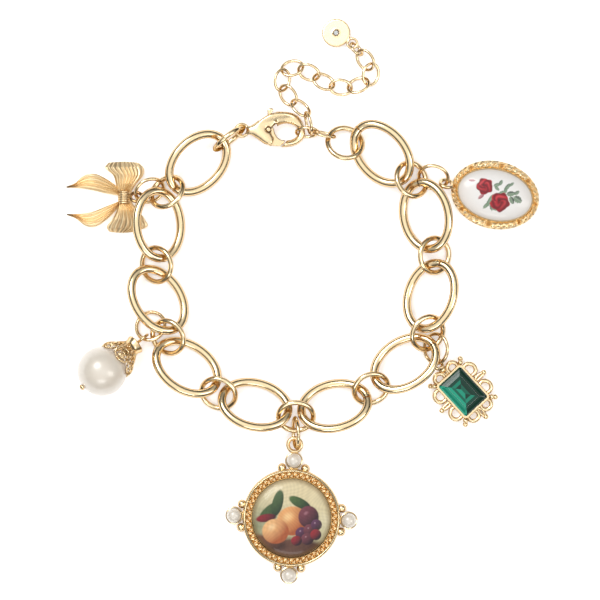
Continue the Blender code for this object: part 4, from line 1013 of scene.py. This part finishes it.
def make_green():
    heading = axis_heading("green_stone", "green_jump_ring")
    matrix = local_matrix(box_middle("green_stone"), heading)
    make_green_stone(matrix)
    inner_x, inner_y = GREEN_WIDE + STONE_GAP, GREEN_LONG + STONE_GAP
    wall = GREEN_COLLAR_WALL
    outer_x, outer_y = inner_x + wall, inner_y + wall
    top = GREEN_COLLAR_TOP
    profile = (
        (0.06 * MM, 0.55 * MM), (wall, 0.50 * MM), (wall + 0.06 * MM, 1.6 * MM),
        (wall, top - 0.25 * MM), (0.6 * wall, top), (0.1 * wall, top + 0.02 * MM),
        (-0.25 * wall, top - 0.02 * MM), (0.02 * MM, top - 0.35 * MM),
    )
    points = []
    for grow, height in profile:
        points += cut_corners(inner_x + grow, inner_y + grow, CORNER_CUT + 0.3 * grow, height)
    collar = make_mesh(
        "collar", points, grid_faces(len(profile), 8, True), CAST,
        painted_shade=np.zeros(len(points)),
    )
    parts = [set_in(collar, matrix)]
    big, small = BIG_SCROLL, SMALL_SCROLL
    for sx in (-1, 1):
        for sy in (-1, 1):
            beside = (sx * (outer_x + SCROLL_OUT * big), sy * SCROLL_PLACE * GREEN_LONG)
            beyond = (sx * SCROLL_PLACE * GREEN_WIDE, sy * (outer_y + SCROLL_OUT * small))
            parts.append(loop_wire(beside, (big, big), matrix))
            parts.append(loop_wire(beyond, (small, small), matrix))
            for share, high in ((0.12, top - 0.35 * MM), (0.62, SCROLL_HEIGHT)):
                step = share * GREEN_GRAIN
                spot = (sx * (outer_x + step), sy * (outer_y + step), high)
                parts.append(set_in(sphere("prong", spot, GREEN_GRAIN / 2, CAST), matrix))
    point = 0.50 * POINT_LENGTH
    reach = 1.20 * POINT_LENGTH
    for x, y in ((outer_x, 0), (-outer_x, 0), (0, -outer_y), (0, outer_y)):
        start = np.array([x, y])
        way = np.sign(start)
        size = np.abs(way) * 0.7 * POINT_LENGTH + np.abs(way[::-1]) * POINT_WIDE
        parts.append(loop_wire(start + way * point, size, matrix, POINT_WIRE))
        if y <= 0:
            ball = (*(start + way * reach), SCROLL_HEIGHT)
            parts.append(set_in(sphere("finial", ball, GREEN_GRAIN / 2, CAST), matrix))
    neck_y = outer_y + 0.9 * GREEN_NECK
    spot, ahead = wire_spot("green_jump_ring", matrix @ Vector((0, neck_y + 1.5 * MM, 0)))
    eye_y = (matrix.inverted() @ Vector(spot)).y
    neck = eye_y - EYE_HOLE / 2 - EYE_WIRE
    parts.append(set_in(sphere("neck", (0, neck, SCROLL_HEIGHT), GREEN_NECK / 2, CAST), matrix))
    parts.append(upright_eye(matrix, eye_y, heading, spot, ahead))
    place(join("green_scrolls", parts), "gold", "green_frame")


# The pearl drop
PEARL_RADIUS = 5.7 * MM
PEARL_HEADING = 39
PEARL_DIP = 15.5
CAP_PROFILE = (
    (0.64, 0.87), (0.93, 0.80), (1.22, 0.59), (1.50, 0.40), (1.66, 0.36), (1.76, 0.41), (1.86, 0.40),
)
CAP_PETALS = 6
CAP_TIP = (0.79, 0.69)
# The cap's crown: radius and height as shares of the pearl's radius, and how far scalloped
CROWN = (
    (0.52, 1.30, 0.0), (0.43, 1.43, 0.0), (0.355, 1.56), (0.345, 1.66), (0.39, 1.74, 0.2),
    (0.40, 1.80, 0.6), (0.37, 1.845, 0.2), (0.18, 1.80), (0.10, 1.78), (0.10, 1.60), (0.32, 1.42),
    (0.44, 1.30),
)
# Each petal's wires: the half petal they stand over, their swing as a share of it, their middle and
# reach as shares of the pearl's radius, their thickness and their beads
PetalWire = namedtuple("PetalWire", "over swing middle reach thick beads")
PETAL_WIRES = (
    PetalWire(0, 0.96, 1.07, 0.40, 0.55 * MM, 28),
    PetalWire(0, 0.96 * 0.62, 1.03, 0.22, 0.40 * MM, 0),
    PetalWire(0, 0.96 * 0.30, 0.95, 0.09, 0.36 * MM, 0),
    PetalWire(1, 0.22, 1.30, 0.12, 0.36 * MM, 0),
)


def cap_wire(angle, height, thick, beads, matrix):
    """A closed wire on the bell of the pearl's cap, plain or beaded."""
    at = np.interp(height, [p[0] for p in CAP_PROFILE], [p[1] for p in CAP_PROFILE]) * PEARL_RADIUS
    at = at - thick / 2
    path = around(angle, at, at, height * PEARL_RADIUS)
    out = around(angle, 1, 1, 0.6)
    radius = np.full(len(path), thick / 2)
    if beads:
        radius = radius * (0.74 + 0.26 * np.cos(TAU * beads * np.arange(len(path)) / len(path)))
    # The cap's wires all carry one even level of painted shade
    return set_in(tube("cap_wire", path, out, radius, CAST, 10, tone=0.12), matrix)


def make_pearl():
    middle = box_middle("pearl_bead")
    matrix = local_matrix(middle, PEARL_HEADING) @ Matrix.Translation((0, 0, middle[2]))
    matrix = matrix @ Matrix.Rotation(-math.pi / 2 - math.radians(PEARL_DIP), 4, "X")
    bead = sphere("pearl_drop", (0, 0, 0), PEARL_RADIUS - 0.01 * MM, PEARL, 64, 96)
    place(set_in(bead, matrix), "pearl", "pearl_bead")
    parts = []
    r = PEARL_RADIUS
    t = TAU * np.arange(112) / 112
    half = TAU / CAP_PETALS / 2
    for i in range(CAP_PETALS):
        turn = TAU * (i + 0.5) / CAP_PETALS
        for wire in PETAL_WIRES:
            angle = turn + wire.over * half + wire.swing * half * np.sin(t)
            height = wire.middle - wire.reach * np.cos(t)
            parts.append(cap_wire(angle, height, wire.thick, wire.beads, matrix))
        out, high = CAP_TIP
        tip = (out * r * math.cos(turn), out * r * math.sin(turn), high * r)
        parts.append(set_in(sphere("tip", tip, 0.42 * MM, CAST, 10, 16), matrix))

    def scallops(angle, share):
        wave = 0.5 + 0.5 * np.cos(12 * angle)
        # Painted shade between the crown's scallops
        return 0.10 * MM * wave * share, 0.6 * (1 - wave)

    crown = [(out * r, high * r, *share) for out, high, *share in CROWN]
    parts.append(revolved_relief("crown", crown, 144, scallops, matrix))
    place(join("cap_filigree", parts), "gold", "pearl_cap")
    smooth_copy("pearl_headpin", 0.06 * MM, 6, CAST)


def even_normals(mesh, rounds):
    """Evens a mesh's shading out over its small facets, and gives the normal of each point."""
    normals = np.zeros(len(mesh.vertices) * 3, np.float32)
    mesh.vertex_normals.foreach_get("vector", normals)
    normals = normals.reshape(-1, 3).astype(float)
    ends = np.zeros(len(mesh.edges) * 2, np.int32)
    mesh.edges.foreach_get("vertices", ends)
    first, second = ends.reshape(-1, 2).T
    for _ in range(rounds):
        total = normals.copy()
        for axis in range(3):
            total[:, axis] += np.bincount(first, normals[second, axis], len(normals))
            total[:, axis] += np.bincount(second, normals[first, axis], len(normals))
        normals = total / np.linalg.norm(total, axis=1)[:, None]
    if rounds:
        mesh.normals_split_custom_set_from_vertices(normals.tolist())
    return normals


def smooth_copy(node, voxel, rounds, material, finer=0, swell=0.0, even=0):
    """A finely remeshed and smoothed piece in the shape of a CAD node."""
    item = add_object(f"{node}_smooth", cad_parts[node].data.copy())
    item.data.materials.clear()
    item.data.materials.append(material)
    remesh = item.modifiers.new("remesh", "REMESH")
    remesh.mode = "VOXEL"
    remesh.voxel_size = voxel
    remesh.use_smooth_shade = True
    smooth = item.modifiers.new("smooth", "SMOOTH")
    smooth.factor = 0.5
    smooth.iterations = rounds
    if swell:
        displace = item.modifiers.new("swell", "DISPLACE")
        displace.mid_level = 0
        displace.strength = swell
    if finer:
        subdivide = item.modifiers.new("subdivide", "SUBSURF")
        subdivide.levels = finer
        subdivide.render_levels = finer
    graph = bpy.context.evaluated_depsgraph_get()
    mesh = bpy.data.meshes.new_from_object(item.evaluated_get(graph))
    item.modifiers.clear()
    item.data = mesh
    mesh.shade_smooth()
    normals = even_normals(mesh, even)
    # Painted shade on the sides that turn away from straight up
    add_painted_shade(mesh, side_shade(normals[:, 2]))
    body = LEVER_BODY if node == "clasp_lever" else BODY
    return place(item, "gold", node, body=body)


def make_clasp():
    smooth_copy("clasp_body", 0.13 * MM, 12, SOFT, 1, 0.02 * MM, 90)
    smooth_copy("clasp_lever", 0.10 * MM, 6, SOFT, 1, 0.0, 30)
    smooth_copy("clasp_pin", 0.04 * MM, 3, SOFT)


# The tag's clear stone: its levels as shares of its half width and height, from the girdle's foot up
TAG_FACETS = 8
TAG_LEVELS = ((1.0, -0.3), (1.0, 0.15), (0.55, 0.95))
TAG_STONE_HEIGHT = 0.35 * MM
# Colours of the painted reflections on the clear stone's facets
TAG_FACET_SHADE = (0.55, 0.62, 0.66)
TAG_FACET_REFLECTION = (0.93, 0.95, 0.97)


def make_tag():
    smooth_copy("tag_disc", 0.11 * MM, 6, SOFT, 1)
    at = fit_frame("tag_stone")
    points = []
    colours = []
    for share, high in TAG_LEVELS:
        reach = share * at.long * 0.96
        for i in range(TAG_FACETS):
            angle = TAU * i / TAG_FACETS
            flat = (reach * math.cos(angle), reach * math.sin(angle), high * TAG_STONE_HEIGHT)
            points.append(at.centre + np.array(flat) @ np.array([at.x, at.y, at.z]))
            # Painted reflections: every other facet light, the rest darker
            colours.append(TAG_FACET_SHADE if i % 2 else TAG_FACET_REFLECTION)
    faces = grid_faces(len(TAG_LEVELS), TAG_FACETS, caps=True)
    stone = make_mesh("tag_facets", points, faces, CLEAR, paint=colours, sharp=5)
    place(stone, "clear_crystal", "tag_stone")


# The stage, in metres
FLOOR_HALF = 0.9
SKY_STOPS = ((0.0, 0.10), (0.12, 0.03), (0.38, 0.06), (0.62, 0.30), (0.84, 1.0), (1.0, 1.15))


def make_floor():
    half = FLOOR_HALF
    points = [(-half, -half, 0), (half, -half, 0), (half, half, 0), (-half, half, 0)]
    mesh = bpy.data.meshes.new("floor")
    mesh.from_pydata(points, [], [(0, 1, 2, 3)])
    mesh.materials.append(floor_material())
    floor = add_object("floor", mesh)


def add_softbox(name, place_at, size, power, colour=(1, 1, 1)):
    """A soft light that faces the middle of the floor."""
    light = bpy.data.lights.new(name, "AREA")
    light.shape = "RECTANGLE"
    light.size, light.size_y = size
    light.energy = power
    light.color = colour
    item = add_object(name, light)
    item.location = place_at
    item.rotation_euler = (-Vector(place_at)).to_track_quat("-Z", "Y").to_euler()


def make_world():
    """A grey studio: bright ceiling, dark wall all round and a light strip low down."""
    world = bpy.data.worlds.new("studio")
    world.use_nodes = True
    bpy.context.scene.world = world
    tree = world.node_tree
    coords = tree.nodes.new("ShaderNodeTexCoord")
    split = tree.nodes.new("ShaderNodeSeparateXYZ")
    ramp = tree.nodes.new("ShaderNodeValToRGB")
    tree.links.new(coords.outputs["Generated"], split.inputs["Vector"])
    tree.links.new(split.outputs["Z"], ramp.inputs["Fac"])
    elements = ramp.color_ramp.elements
    for i, (where, grey) in enumerate(SKY_STOPS):
        element = elements[i] if i < 2 else elements.new(where)
        element.position = where
        element.color = (grey, grey * 0.985, grey * 0.96, 1)
    background = tree.nodes["Background"]
    tree.links.new(ramp.outputs["Color"], background.inputs["Color"])
    background.inputs["Strength"].default_value = 1.0


def make_camera():
    data = bpy.data.cameras.new("camera")
    data.sensor_width = SENSOR
    data.lens = SENSOR * CAMERA_HEIGHT / VIEW_WIDTH
    camera = add_object("camera", data)
    camera.location = (*VIEW_MIDDLE, CAMERA_HEIGHT)
    bpy.context.scene.camera = camera


make_chain()
make_medallion()
make_oval()
make_bow()
make_green()
make_pearl()
make_clasp()
make_tag()
make_floor()
make_world()
add_softbox("key", (-0.35, 0.40, 0.75), (0.35, 0.35), 3.4)
add_softbox("fill", (0.55, -0.15, 0.60), (0.25, 0.45), 1.2, (1.0, 0.97, 0.93))
add_softbox("front", (-0.05, -0.60, 0.55), (0.45, 0.15), 0.9)
make_camera()
bpy.context.scene.view_settings.view_transform = "Standard"
